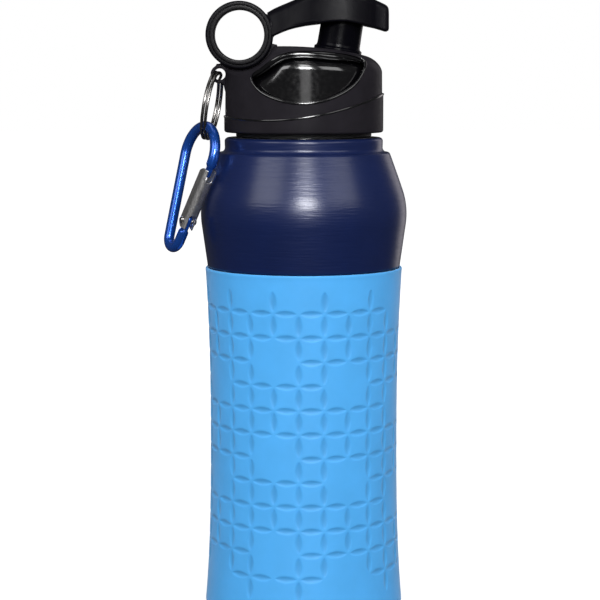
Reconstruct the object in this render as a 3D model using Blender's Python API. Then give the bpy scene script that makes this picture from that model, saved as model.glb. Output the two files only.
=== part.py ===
"""Insulated sports bottle with a silicone boot, a flip-spout cap, a split ring and a carabiner.

Frame: metres, +Z up. The origin is on the bottle's axis at the face it stands on. The flip
lever's pivot, the eyelet and the carabiner are on the -X side, the spout leans towards +X,
and the carabiner's gate is on the -Y side.
"""

import math

import bmesh
import bpy
from mathutils import Matrix, Vector

MM = 0.001
GAP = 0.3 * MM                     # running or assembly gap between neighbouring pieces

# ---------------------------------------------------------------- driving dimensions
ROUND_STEPS = 32                   # facets of the large turned pieces
SMALL_STEPS = 24                   # facets of the small turned pieces

# silicone boot
BOOT_TOP_Z = 130.3 * MM
BOOT_WAIST_Z = 76.0 * MM
BOOT_WAIST_R = 35.3 * MM
BOOT_TOP_FLARE = 1.65 * MM         # how much wider the boot is at its top than at its waist
BOOT_BASE_FLARE = 2.4 * MM
BOOT_WALL = 1.1 * MM
BOOT_FLOOR = 2.0 * MM
BOOT_EDGE_R = 3.2 * MM

# steel vessel
VESSEL_WALL = 0.9 * MM
VESSEL_BASE_Z = BOOT_FLOOR + GAP
BULGE_R = 39.25 * MM               # corner of the shoulder before it is rounded
BULGE_Z = 153.0 * MM
SHOULDER_MID_R = 35.4 * MM
SHOULDER_MID_Z = 164.2 * MM
SHOULDER_TOP_R = 32.1 * MM
SHOULDER_TOP_Z = 173.3 * MM
COLLAR_R = 29.65 * MM
RIM_Z = 178.8 * MM
NECK_R = 24.6 * MM                 # inside of the neck
LINER_WALL = 0.8 * MM
LINER_SPACE = 3.2 * MM             # from the outer skin to the liner
LINER_BASE_Z = 7.0 * MM

# screw thread between neck and cap
THREAD_PITCH = 4.0 * MM
THREAD_DEPTH = 1.0 * MM
THREAD_ROOT_W = 1.5 * MM
THREAD_CREST_W = 0.7 * MM
PLUG_R = 23.2 * MM
PLUG_BORE_R = 21.2 * MM
PLUG_BOTTOM_Z = 165.5 * MM
NECK_THREAD_Z = 170.2 * MM         # where the neck's thread starts
THREAD_TURNS = 1.25
THREAD_SUNK = 0.4 * MM             # how far a ridge's root is buried in its wall

# cap
CAP_BOTTOM_Z = 180.7 * MM
CAP_BAND_R = 29.7 * MM             # lower band, a hair wider than the rest
CAP_BAND_TOP_Z = 189.5 * MM
CAP_TOP_R = 29.1 * MM
CAP_TOP_Z = 212.35 * MM            # at the pivot's side of the crown
CAP_CROWN_R = 6.5 * MM
CAP_WALL = 1.2 * MM
CORE_R = 27.5 * MM
CORE_TOP_Z = 208.7 * MM            # top of the lip that the windows show
CORE_RISE_R = 22.3 * MM            # inside the lip the core rises to the shell's crown
CORE_RISE_Z = CAP_TOP_Z - CAP_WALL - GAP
CORE_CEILING_Z = 198.0 * MM
CORE_HOLLOW_R = 25.2 * MM
CROWN_FALL = 3.5                   # fall towards the spout, per metre of run squared
CROWN_FALL_X = -8.0 * MM           # the crown is level up to here
CROWN_LEAN_Z = 194.0 * MM          # and leans above this height only
SEAL_R = 25.3 * MM
WINDOW_FLOOR_R = 23.2 * MM         # the windows stop this far from the axis

# flip lever, its finger ring and pivot
PIVOT = Vector((-23.9 * MM, 0.0, 216.7 * MM))
RING_R = 12.56 * MM
RING_HOLE_R = 9.25 * MM
BUSH_R = 9.75 * MM
EYE_HOLE_R = 10.0 * MM
EYE_R = 12.2 * MM
EYE_HALF_W = 1.75 * MM
CHEEK_INNER_Y = 2.05 * MM
CHEEK_OUTER_Y = 4.6 * MM
FLANGE_R = 11.0 * MM
FLANGE_THICK = 0.7 * MM
SCOOP = Vector((-23.6 * MM, 0.0, 216.9 * MM))   # the cap is scooped out under the ring
SCOOP_R = 13.7 * MM
SCOOP_WALL = 1.3 * MM
LIP_SCOOP_R = 17.2 * MM            # the core's lip stands further back
FULL_HALF_W = 40 * MM              # a cut that runs right through the cap along Y
WEB_R = 14.4 * MM
WEB_START_DEG = -123.0
WEB_END_DEG = -14.5

# spout
SPOUT_FOOT = Vector((12.6 * MM, 0.0, 210.7 * MM))
SPOUT_TILT = math.radians(9.0)
SPOUT_R = 8.0 * MM
SPOUT_BORE_R = 5.9 * MM
SPOUT_TOP_S = 15.5 * MM            # heights along the spout's own axis from SPOUT_FOOT
SPOUT_BOTTOM_S = -5.5 * MM
SPOUT_POCKET_S = -7.4 * MM
SPOUT_COLLAR_R = 8.9 * MM

# eyelet and split ring
EYELET = Vector((-31.3 * MM, 0.0, 202.2 * MM))
EYELET_R = 3.4 * MM
EYELET_HOLE_R = 2.15 * MM
EYELET_HALF_W = 1.5 * MM
KEY_RING_CENTRE = Vector((-34.1 * MM, -5.0 * MM, 190.7 * MM))
KEY_RING_R = 12.4 * MM             # to the middle of the wire
KEY_WIRE_R = 0.55 * MM
KEY_TURN_GAP = 1.3 * MM            # between the two turns' middles
KEY_RING_TILT = math.radians(10.0)
KEY_RING_YAW = math.radians(8.5)

# carabiner
CARABINER_ROD_R = 1.95 * MM
CARABINER_TOP_R = 10.5 * MM        # bows, to the middle of the rod
CARABINER_FOOT_R = 4.3 * MM
CARABINER_BOW_SPAN = 31.3 * MM     # between the two bows' centres
CARABINER_TILT = math.radians(11.1)
CARABINER_TURN = math.radians(57.0)
CARABINER_SWAY = math.radians(8.0)  # its foot leans this far towards -Y
CARABINER_HANG = Vector((-36.6 * MM, -5.2 * MM, 183.0 * MM))   # rod's middle over the split ring
TONGUE_HALF_THICK = 0.95 * MM
GATE_HALF_W = 2.5 * MM
GATE_SHEET = 0.7 * MM
GATE_HALF_DEPTH = 2.1 * MM
RIVET_R = 0.9 * MM


# ---------------------------------------------------------------- helpers
def clear_scene():
    for obj in list(bpy.data.objects):
        bpy.data.objects.remove(obj, do_unlink=True)


def make_material(name, color, roughness, metallic=0.0):
    material = bpy.data.materials.new(name)
    material.use_nodes = True
    shader = material.node_tree.nodes["Principled BSDF"]
    shader.inputs["Base Color"].default_value = (*color, 1.0)
    shader.inputs["Roughness"].default_value = roughness
    shader.inputs["Metallic"].default_value = metallic
    material.diffuse_color = (*color, 1.0)
    return material


def add_object(name, bm, material=None, origin=None):
    """Make an object of a bmesh drawn in world space; a cutter has no material."""
    bmesh.ops.recalc_face_normals(bm, faces=bm.faces)
    if origin is not None:
        bmesh.ops.translate(bm, verts=bm.verts, vec=-origin)
    mesh = bpy.data.meshes.new(name)
    bm.to_mesh(mesh)
    bm.free()
    obj = bpy.data.objects.new(name, mesh)
    bpy.context.scene.collection.objects.link(obj)
    if origin is not None:
        obj.location = origin
    if material is None:
        obj.hide_render = True
        obj.display_type = "WIRE"
    else:
        mesh.materials.append(material)
        mesh.shade_smooth()
        mesh.set_sharp_from_angle(angle=math.radians(35))
    return obj


def combine(target, tool, operation):
    modifier = target.modifiers.new(tool.name, "BOOLEAN")
    modifier.operation = operation
    modifier.solver = "EXACT"
    modifier.object = tool


def cut(target, *tools):
    for tool in tools:
        combine(target, tool, "DIFFERENCE")


def join(target, *tools):
    for tool in tools:
        combine(target, tool, "UNION")


def weld(target):
    """Close up the near-zero edges that a Boolean leaves, before the next one reads them."""
    modifier = target.modifiers.new("weld", "WELD")
    modifier.merge_threshold = 0.002 * MM


def rounded_outline(corners, arc_steps=3):
    """Turn (r, z, fillet radius) corners into points, each fillet an arc of arc_steps chords."""
    points = []
    last = len(corners) - 1
    for index, (r, z, fillet) in enumerate(corners):
        here = Vector((r, z))
        if fillet == 0.0 or index in (0, last):
            points.append(here)
            continue
        before = (Vector(corners[index - 1][:2]) - here).normalized()
        after = (Vector(corners[index + 1][:2]) - here).normalized()
        half = before.angle(after) / 2
        reach = fillet / math.tan(half)
        centre = here + (before + after).normalized() * (fillet / math.sin(half))
        start = here + before * reach - centre
        end = here + after * reach - centre
        for step in range(arc_steps + 1):
            share = step / arc_steps
            swept = start.angle(end)
            blend = (start * math.sin((1 - share) * swept) + end * math.sin(share * swept))
            points.append(centre + blend / math.sin(swept))
    return points


def turned(points, steps, closed_loop):
    """Spin a profile in the XZ plane once round Z; an open profile starts and ends on the axis."""
    bm = bmesh.new()
    verts = [bm.verts.new((point[0], 0.0, point[1])) for point in points]
    edges = [bm.edges.new(pair) for pair in zip(verts, verts[1:])]
    if closed_loop:
        edges.append(bm.edges.new((verts[-1], verts[0])))
    bmesh.ops.spin(bm, geom=verts + edges, cent=(0, 0, 0), axis=(0, 0, 1),
                   angle=math.tau, steps=steps, use_merge=True)
    bmesh.ops.remove_doubles(bm, verts=bm.verts, dist=1e-7)
    return bm


def tube_bmesh(r_in, r_out, z_low, z_high, steps):
    return turned([(r_out, z_low), (r_out, z_high), (r_in, z_high), (r_in, z_low)], steps, True)


def rod_bmesh(radius, z_low, z_high, steps):
    bm = bmesh.new()
    middle = Matrix.Translation((0, 0, (z_low + z_high) / 2))
    bmesh.ops.create_cone(bm, cap_ends=True, segments=steps, radius1=radius, radius2=radius,
                          depth=z_high - z_low, matrix=middle)
    return bm


def lay_along_y(bm, centre):
    """Turn a shape made round Z so that it lies round Y at a centre, its +Z end towards -Y."""
    placing = Matrix.Translation(centre) @ Matrix.Rotation(math.radians(90), 4, "X")
    bmesh.ops.transform(bm, matrix=placing, verts=bm.verts)
    return bm


def stand_in_spout(bm):
    """Place a shape made round Z on the spout's leaning axis, with its z counted from the foot."""
    placing = Matrix.Translation(SPOUT_FOOT) @ Matrix.Rotation(SPOUT_TILT, 4, "Y")
    bmesh.ops.transform(bm, matrix=placing, verts=bm.verts)
    return bm


def plate_bmesh(outline, y_low, y_high):
    """Extrude a closed outline of (x, z) points along Y."""
    bm = bmesh.new()
    verts = [bm.verts.new((x, y_low, z)) for x, z in outline]
    face = bm.faces.new(verts)
    grown = bmesh.ops.extrude_face_region(bm, geom=[face])
    moved = [item for item in grown["geom"] if isinstance(item, bmesh.types.BMVert)]
    bmesh.ops.translate(bm, verts=moved, vec=(0, y_high - y_low, 0))
    return bm


def skin_sections(sections):
    """Close a row of equal loops of points into one body with flat ends."""
    bm = bmesh.new()
    loops = [[bm.verts.new(point) for point in section] for section in sections]
    count = len(loops[0])
    for near, far in zip(loops, loops[1:]):
        for index in range(count):
            after = (index + 1) % count
            bm.faces.new((near[index], near[after], far[after], far[index]))
    bm.faces.new(loops[0][::-1])
    bm.faces.new(loops[-1])
    return bm


def smooth_through(points, steps):
    """Points of a closed Catmull-Rom curve through a closed row of (x, z) points."""
    count = len(points)
    result = []
    for index in range(count):
        p0, p1, p2, p3 = (Vector(points[(index + shift) % count]) for shift in (-1, 0, 1, 2))
        for step in range(steps):
            t = step / steps
            result.append(0.5 * (2 * p1 + (p2 - p0) * t + (2 * p0 - 5 * p1 + 4 * p2 - p3) * t * t
                                 + (3 * p1 - p0 - 3 * p2 + p3) * t ** 3))
    return result


def thread_bmesh(r_root, r_crest, z_start, turns):
    """One start of a right-hand trapezoid thread whose ends sink back towards its root."""
    stations = round(turns * ROUND_STEPS)
    sections = []
    for station in range(stations + 1):
        angle = math.tau * station / ROUND_STEPS
        z = z_start + THREAD_PITCH * angle / math.tau
        fade = 0.35 if station in (0, stations) else 1.0
        crest = r_root + (r_crest - r_root) * fade
        section = []
        for r, dz in ((r_root, -THREAD_ROOT_W / 2), (crest, -THREAD_CREST_W / 2),
                      (crest, THREAD_CREST_W / 2), (r_root, THREAD_ROOT_W / 2)):
            section.append((r * math.cos(angle), r * math.sin(angle), z + dz))
        sections.append(section)
    return skin_sections(sections)


# ---------------------------------------------------------------- boot and vessel
def boot_radius(z):
    """Outer radius of the waisted boot at a height."""
    if z > BOOT_WAIST_Z:
        return BOOT_WAIST_R + BOOT_TOP_FLARE * ((z - BOOT_WAIST_Z) / (BOOT_TOP_Z - BOOT_WAIST_Z)) ** 2
    return BOOT_WAIST_R + BOOT_BASE_FLARE * ((BOOT_WAIST_Z - z) / BOOT_WAIST_Z) ** 3


def waisted_wall(inset, steps=6):
    """Points up the boot's outline, moved inwards by an inset, at the same heights each time."""
    low = 7 * MM
    high = BOOT_TOP_Z - 1.5 * MM
    heights = [low + (high - low) * step / steps for step in range(steps + 1)]
    return [(boot_radius(z) - inset, z, 0.0) for z in heights]


def make_boot(material):
    top_r = boot_radius(BOOT_TOP_Z)
    bevel = 0.5 * MM                   # outer edge of the open end
    corners = [(0.0, 0.0, 0.0), (boot_radius(0.0), 0.0, BOOT_EDGE_R)]
    corners += waisted_wall(0.0)
    corners += [(top_r, BOOT_TOP_Z - bevel, 0.0),
                (top_r - bevel, BOOT_TOP_Z, 0.0),
                (top_r - BOOT_WALL, BOOT_TOP_Z, 0.0)]
    corners += waisted_wall(BOOT_WALL)[::-1]
    corners += [(boot_radius(0.0) - BOOT_WALL, BOOT_FLOOR, BOOT_EDGE_R - BOOT_WALL),
                (0.0, BOOT_FLOOR, 0.0)]
    add_object("silicone_boot", turned(rounded_outline(corners), ROUND_STEPS, False), material)


def make_outer_vessel(material):
    inset = BOOT_WALL + GAP
    edge = BOOT_EDGE_R - BOOT_WALL
    top_r = boot_radius(BOOT_TOP_Z)
    bevel = 0.4 * MM                   # outer edge of the rim
    outer = [(0.0, VESSEL_BASE_Z, 0.0),
             (boot_radius(0.0) - inset, VESSEL_BASE_Z, edge)]
    outer += waisted_wall(inset)
    outer += [(top_r - inset, BOOT_TOP_Z, 0.0),
              (top_r - 0.75 * MM, BOOT_TOP_Z + 0.7 * MM, 0.0),
              (BULGE_R, BULGE_Z, 28 * MM),
              (SHOULDER_MID_R, SHOULDER_MID_Z, 25 * MM),
              (SHOULDER_TOP_R, SHOULDER_TOP_Z, 0.9 * MM),
              (COLLAR_R, SHOULDER_TOP_Z + 0.9 * MM, 0.0),
              (COLLAR_R, RIM_Z - bevel, 0.0),
              (COLLAR_R - bevel, RIM_Z, 0.0)]
    wall = VESSEL_WALL
    inner = [(COLLAR_R - wall, RIM_Z, 0.0),
             (COLLAR_R - wall, SHOULDER_TOP_Z - 0.2 * MM, 0.0),
             (SHOULDER_MID_R - wall, SHOULDER_MID_Z - 0.3 * MM, 24 * MM),
             (BULGE_R - wall, BULGE_Z - 0.3 * MM, 27 * MM)]
    inner += waisted_wall(inset + wall)[::-1]
    inner += [(boot_radius(0.0) - inset - wall, VESSEL_BASE_Z + wall, edge - wall),
              (0.0, VESSEL_BASE_Z + wall, 0.0)]
    profile = rounded_outline(outer + inner)
    add_object("outer_vessel", turned(profile, ROUND_STEPS, False), material)


def make_liner(material):
    space = BOOT_WALL + GAP + LINER_SPACE
    wall = LINER_WALL
    neck_out = NECK_R + wall
    lip_r = COLLAR_R - VESSEL_WALL - GAP
    outer = [(0.0, LINER_BASE_Z, 0.0),
             (BOOT_WAIST_R - space, LINER_BASE_Z, 6 * MM),
             (BOOT_WAIST_R - space, BOOT_WAIST_Z, 0.0),
             (BULGE_R - LINER_SPACE, BULGE_Z - 2 * MM, 10 * MM),
             (neck_out, SHOULDER_TOP_Z - 9 * MM, 3 * MM),
             (neck_out, RIM_Z - wall, 0.0),
             (lip_r, RIM_Z - wall, 0.0),
             (lip_r, RIM_Z, 0.0)]
    inner = [(NECK_R, RIM_Z, 0.0),
             (NECK_R, SHOULDER_TOP_Z - 9.5 * MM, 3 * MM),
             (BULGE_R - LINER_SPACE - wall, BULGE_Z - 2.4 * MM, 9 * MM),
             (BOOT_WAIST_R - space - wall, BOOT_WAIST_Z, 0.0),
             (BOOT_WAIST_R - space - wall, LINER_BASE_Z + wall, 6 * MM - wall),
             (0.0, LINER_BASE_Z + wall, 0.0)]
    profile = rounded_outline(outer + inner)
    liner = add_object("steel_liner", turned(profile, ROUND_STEPS, False), material)
    root = NECK_R + THREAD_SUNK
    ridge = thread_bmesh(root, NECK_R - THREAD_DEPTH, NECK_THREAD_Z, THREAD_TURNS)
    join(liner, add_object("neck_thread_tool", ridge))


# ---------------------------------------------------------------- cap
def lean_crown(bm):
    """Bend the crown down towards the spout, easing in above CROWN_LEAN_Z."""
    for vert in bm.verts:
        share = (vert.co.z - CROWN_LEAN_Z) / (CAP_TOP_Z - CROWN_LEAN_Z)
        share = min(max(share, 0.0), 1.0)
        run = max(vert.co.x - CROWN_FALL_X, 0.0)
        vert.co.z -= CROWN_FALL * run * run * share
    return bm


def cap_envelope(shrink, bottom_z, steps=ROUND_STEPS):
    """Solid inside of the cap's outline, moved inwards by shrink."""
    corners = [(0.0, bottom_z, 0.0),
               (CAP_BAND_R - shrink, bottom_z, 0.0 if shrink else 1.2 * MM),
               (CAP_BAND_R - shrink, CAP_BAND_TOP_Z, 0.0),
               (CAP_TOP_R + 0.3 * MM - shrink, CAP_BAND_TOP_Z + 0.8 * MM, 0.0),
               (CAP_TOP_R - shrink, CAP_TOP_Z - shrink, CAP_CROWN_R - shrink),
               (0.0, CAP_TOP_Z - shrink, 0.0)]
    return lean_crown(turned(rounded_outline(corners, 4), steps, False))


def pivot_disc(name, radius, half_width, centre=PIVOT):
    bm = rod_bmesh(radius, -half_width, half_width, ROUND_STEPS)
    return add_object(name, lay_along_y(bm, centre))


def scoop_tool(name, radius):
    return pivot_disc(name, radius, FULL_HALF_W, SCOOP)


def window_tool(name, side):
    """Oval cutter through one side of the shell that leaves the deck inside it whole."""
    oval = [(-18.9, 201.2), (-15.0, 196.0), (-7.0, 192.9), (2.0, 192.3), (10.6, 194.3),
            (18.0, 198.7), (21.8, 204.8), (20.6, 207.4), (14.5, 209.5), (2.0, 210.3),
            (-6.3, 209.3), (-13.2, 205.1)]
    outline = smooth_through([(x * MM, z * MM) for x, z in oval], 2)
    far = CAP_BAND_R + 3 * MM
    near = 12 * MM
    y_low, y_high = (-far, -near) if side < 0 else (near, far)
    tool = add_object(name, plate_bmesh(outline, y_low, y_high))
    keep = rod_bmesh(WINDOW_FLOOR_R, 185 * MM, 216 * MM, ROUND_STEPS)
    cut(tool, add_object(name + "_keep", keep))
    return tool


def make_shell(material):
    shell = add_object("cap_shell", cap_envelope(0.0, CAP_BOTTOM_Z), material)
    hollow = add_object("shell_hollow_tool", cap_envelope(CAP_WALL, CAP_BOTTOM_Z - 5 * MM))
    cut(hollow, scoop_tool("scoop_wall_tool", SCOOP_R + SCOOP_WALL))
    cut(shell, hollow, scoop_tool("shell_scoop_tool", SCOOP_R))
    cut(shell, window_tool("front_window_tool", -1), window_tool("back_window_tool", 1))
    hole = stand_in_spout(rod_bmesh(SPOUT_COLLAR_R + GAP, -8 * MM, 8 * MM, SMALL_STEPS))
    cut(shell, add_object("shell_spout_tool", hole))
    add_pivot_eye(shell)


def arc_points(centre, radius, start_deg, end_deg, steps):
    """Points (x, z) of an arc in the XZ plane."""
    points = []
    for step in range(steps + 1):
        angle = math.radians(start_deg + (end_deg - start_deg) * step / steps)
        points.append((centre.x + radius * math.cos(angle), centre.z + radius * math.sin(angle)))
    return points


def add_pivot_eye(shell):
    """Join the fixed eye of the lever's pivot, its web and the eyelet."""
    web = arc_points(PIVOT, WEB_R, WEB_START_DEG, WEB_END_DEG, 12)
    web += arc_points(PIVOT, EYE_R - 1.0 * MM, WEB_END_DEG, WEB_START_DEG, 10)
    eyelet = rod_bmesh(EYELET_R, -EYELET_HALF_W, EYELET_HALF_W, 20)
    gusset = [(-32.4 * MM, 206.0 * MM), (-29.3 * MM, 196.5 * MM), (-28.6 * MM, 196.5 * MM),
              (-28.4 * MM, 205.2 * MM), (-29.5 * MM, 205.6 * MM)]
    join(shell,
         add_object("eye_web_tool", plate_bmesh(web, -EYE_HALF_W + 0.05 * MM, EYE_HALF_W - 0.05 * MM)),
         pivot_disc("eye_disc_tool", EYE_R, EYE_HALF_W),
         add_object("gusset_tool", plate_bmesh(gusset, -1.3 * MM, 1.3 * MM)),
         add_object("eyelet_tool", lay_along_y(eyelet, EYELET)))
    weld(shell)
    hole = lay_along_y(rod_bmesh(EYELET_HOLE_R, -4 * MM, 4 * MM, 20), EYELET)
    cut(shell, add_object("eyelet_hole_tool", hole))
    weld(shell)
    cut(shell, pivot_disc("eye_hole_tool", EYE_HOLE_R, 4 * MM))
    weld(shell)


def make_core(material):
    flange_z = CAP_BOTTOM_Z + 0.6 * MM
    corners = [(PLUG_BORE_R, PLUG_BOTTOM_Z, 0.0),
               (PLUG_R, PLUG_BOTTOM_Z, 0.0),
               (PLUG_R, flange_z, 0.0),
               (CORE_R, flange_z, 0.0),
               (CORE_R, CORE_TOP_Z, 4.5 * MM),
               (0.0, CORE_TOP_Z, 0.0),
               (0.0, CORE_CEILING_Z, 0.0),
               (CORE_HOLLOW_R, CORE_CEILING_Z, 2 * MM),
               (CORE_HOLLOW_R, flange_z + 2.5 * MM, 0.0),
               (PLUG_BORE_R, flange_z + 1.5 * MM, 0.0)]
    profile = rounded_outline(corners)
    core = add_object("cap_core", lean_crown(turned(profile, ROUND_STEPS, True)), material)
    cut(core, scoop_tool("lip_scoop_tool", LIP_SCOOP_R))
    overlap = 0.5 * MM                 # the rise starts this far inside the ceiling
    rise_low = CORE_CEILING_Z + overlap
    rise = [(0.0, rise_low), (CORE_RISE_R, rise_low), (CORE_RISE_R, CORE_RISE_Z), (0.0, CORE_RISE_Z)]
    rise = add_object("core_rise_tool", lean_crown(turned(rise, ROUND_STEPS, False)))
    cut(rise, scoop_tool("rise_scoop_tool", SCOOP_R + SCOOP_WALL + GAP))
    join(core, rise)
    weld(core)
    engaged_gap = 0.4 * MM
    start = NECK_THREAD_Z - (THREAD_ROOT_W + THREAD_CREST_W) / 2 - engaged_gap
    ridge = thread_bmesh(PLUG_R - THREAD_SUNK, PLUG_R + THREAD_DEPTH, start, THREAD_TURNS)
    join(core, add_object("plug_thread_tool", ridge))
    pocket = stand_in_spout(rod_bmesh(SPOUT_COLLAR_R + GAP, SPOUT_BOTTOM_S + 4 * MM, 3 * MM, SMALL_STEPS))
    seat = stand_in_spout(rod_bmesh(SPOUT_R + GAP, SPOUT_POCKET_S, 3 * MM, SMALL_STEPS))
    drain = stand_in_spout(rod_bmesh(SPOUT_BORE_R, -22 * MM, 3 * MM, SMALL_STEPS))
    cut(core, add_object("spout_pocket_tool", pocket), add_object("spout_seat_tool", seat),
        add_object("spout_drain_tool", drain))


def make_seal(material):
    low = RIM_Z + GAP
    high = CAP_BOTTOM_Z + 0.6 * MM - GAP
    add_object("cap_seal", tube_bmesh(PLUG_R + 0.4 * MM, SEAL_R, low, high, ROUND_STEPS), material)


def make_spout(material):
    profile = [(SPOUT_BORE_R, SPOUT_BOTTOM_S), (SPOUT_R, SPOUT_BOTTOM_S), (SPOUT_R, -0.9 * MM),
               (SPOUT_COLLAR_R, -0.9 * MM), (SPOUT_COLLAR_R, 1.0 * MM), (SPOUT_R, 1.6 * MM),
               (SPOUT_R, SPOUT_TOP_S - 0.6 * MM), (SPOUT_R - 0.6 * MM, SPOUT_TOP_S),
               (SPOUT_BORE_R + 0.4 * MM, SPOUT_TOP_S), (SPOUT_BORE_R, SPOUT_TOP_S - 0.8 * MM)]
    add_object("spout", stand_in_spout(turned(profile, SMALL_STEPS, True)), material)


def make_spout_seal(material):
    ring = tube_bmesh(SPOUT_BORE_R + GAP, SPOUT_R, SPOUT_POCKET_S + GAP, SPOUT_BOTTOM_S - GAP,
                      SMALL_STEPS)
    add_object("spout_seal", stand_in_spout(ring), material)


# ---------------------------------------------------------------- lever
def lever_section(x, z_low, z_high, half_width, corner=0.45):
    """Loop of points round the lever at one station, a soft-cornered rectangle."""
    centre_z = (z_low + z_high) / 2
    half_height = (z_high - z_low) / 2
    section = []
    for index in range(16):
        angle = math.tau * (index + 0.5) / 16
        c, s = math.cos(angle), math.sin(angle)
        y = half_width * math.copysign(abs(c) ** corner, c)
        z = half_height * math.copysign(abs(s) ** corner, s)
        section.append((x, y, centre_z + z))
    return section


def make_lever(material):
    # x, underside z, top z and half width, in mm, from the pivot ring to the thumb tab
    stations = [(-14.5, 214.6, 224.4, 4.45), (-10.8, 216.5, 226.5, 5.1), (-5.5, 218.7, 228.7, 7.2),
                (0.0, 220.0, 230.8, 8.9), (5.0, 220.7, 232.2, 10.2), (10.6, 221.3, 232.8, 10.9),
                (16.0, 221.3, 232.4, 11.0), (21.0, 220.4, 231.4, 10.1), (25.0, 219.6, 230.1, 8.0),
                (27.3, 219.0, 229.2, 6.2), (31.5, 217.6, 227.2, 5.6)]
    sections = [lever_section(x * MM, low * MM, high * MM, half * MM)
                for x, low, high, half in stations]
    lever = add_object("flip_lever", skin_sections(sections), material, origin=PIVOT)
    join(lever, pivot_disc("lever_ring_tool", RING_R, CHEEK_OUTER_Y))
    weld(lever)
    cut(lever, pivot_disc("lever_slot_tool", RING_R + 0.45 * MM, CHEEK_INNER_Y))
    weld(lever)
    for side, word in ((-1, "front"), (1, "back")):
        depth = 2 * MM
        middle = PIVOT + Vector((0, side * (CHEEK_OUTER_Y - FLANGE_THICK + depth / 2), 0))
        seat = lay_along_y(rod_bmesh(FLANGE_R + GAP, -depth / 2, depth / 2, ROUND_STEPS), middle)
        cut(lever, add_object(f"{word}_seat_tool", seat))
        weld(lever)
    cut(lever, pivot_disc("lever_hole_tool", EYE_HOLE_R, 8 * MM))
    weld(lever)
    room = turned([(0.0, 4 * MM), (9.5 * MM, 4 * MM), (9.1 * MM, SPOUT_TOP_S + 2.0 * MM),
                   (0.0, SPOUT_TOP_S + 2.0 * MM)], SMALL_STEPS, False)
    stem = rod_bmesh(2.8 * MM, SPOUT_TOP_S, SPOUT_TOP_S + 4.2 * MM, 16)
    cut(lever, add_object("spout_room_tool", stand_in_spout(room)),
        add_object("plug_stem_tool", stand_in_spout(stem)))


def make_plug(material):
    top = SPOUT_TOP_S + 2.0 * MM - GAP
    base = SPOUT_TOP_S + GAP
    profile = [(0.0, base - 4.0 * MM), (3.9 * MM, base - 4.0 * MM), (4.5 * MM, base),
               (8.2 * MM, base), (8.2 * MM, top), (2.5 * MM, top), (2.5 * MM, top + 2.2 * MM),
               (0.0, top + 2.2 * MM)]
    add_object("spout_plug", stand_in_spout(turned(profile, SMALL_STEPS, False)), material,
               origin=PIVOT)


def make_bushes(material):
    outer = CHEEK_OUTER_Y + GAP
    profile = [(RING_HOLE_R, 0.15 * MM), (BUSH_R, 0.15 * MM), (BUSH_R, outer - FLANGE_THICK),
               (FLANGE_R, outer - FLANGE_THICK), (FLANGE_R, outer), (RING_HOLE_R, outer)]
    for name, turn in (("pivot_bush_front", 0.0), ("pivot_bush_back", math.pi)):
        bm = turned(profile, ROUND_STEPS, True)
        bmesh.ops.rotate(bm, verts=bm.verts, cent=(0, 0, 0), matrix=Matrix.Rotation(turn, 3, "X"))
        add_object(name, lay_along_y(bm, PIVOT), material)


# ---------------------------------------------------------------- split ring
def make_split_ring(material):
    """Two flat turns of wire joined by one short jog, with the two ends beside the jog."""
    down = Vector((-math.sin(KEY_RING_TILT), 0, -math.cos(KEY_RING_TILT)))
    level = Vector((0, 1, 0))
    flat_normal = level.cross(down)
    across = level * math.cos(KEY_RING_YAW) - flat_normal * math.sin(KEY_RING_YAW)
    normal = across.cross(down)
    jog_half = math.radians(14)
    jog_at = math.radians(34)                  # on the arc beside the cap, near the eyelet
    steps = 62
    total = 2 * math.tau - 2 * jog_half
    sections = []
    for step in range(steps + 1):
        run = jog_half + total * step / steps
        passed = min(max((run - math.tau + jog_half) / (2 * jog_half), 0.0), 1.0)
        side = (passed * passed * (3 - 2 * passed) - 0.5) * KEY_TURN_GAP
        angle = jog_at + run
        outward = across * math.sin(angle) - down * math.cos(angle)
        middle = KEY_RING_CENTRE + outward * KEY_RING_R + normal * side
        section = []
        for index in range(6):
            turn = math.tau * index / 6
            section.append(middle + (outward * math.cos(turn) + normal * math.sin(turn)) * KEY_WIRE_R)
        sections.append(section)
    add_object("split_ring", skin_sections(sections), material, origin=EYELET)


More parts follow.
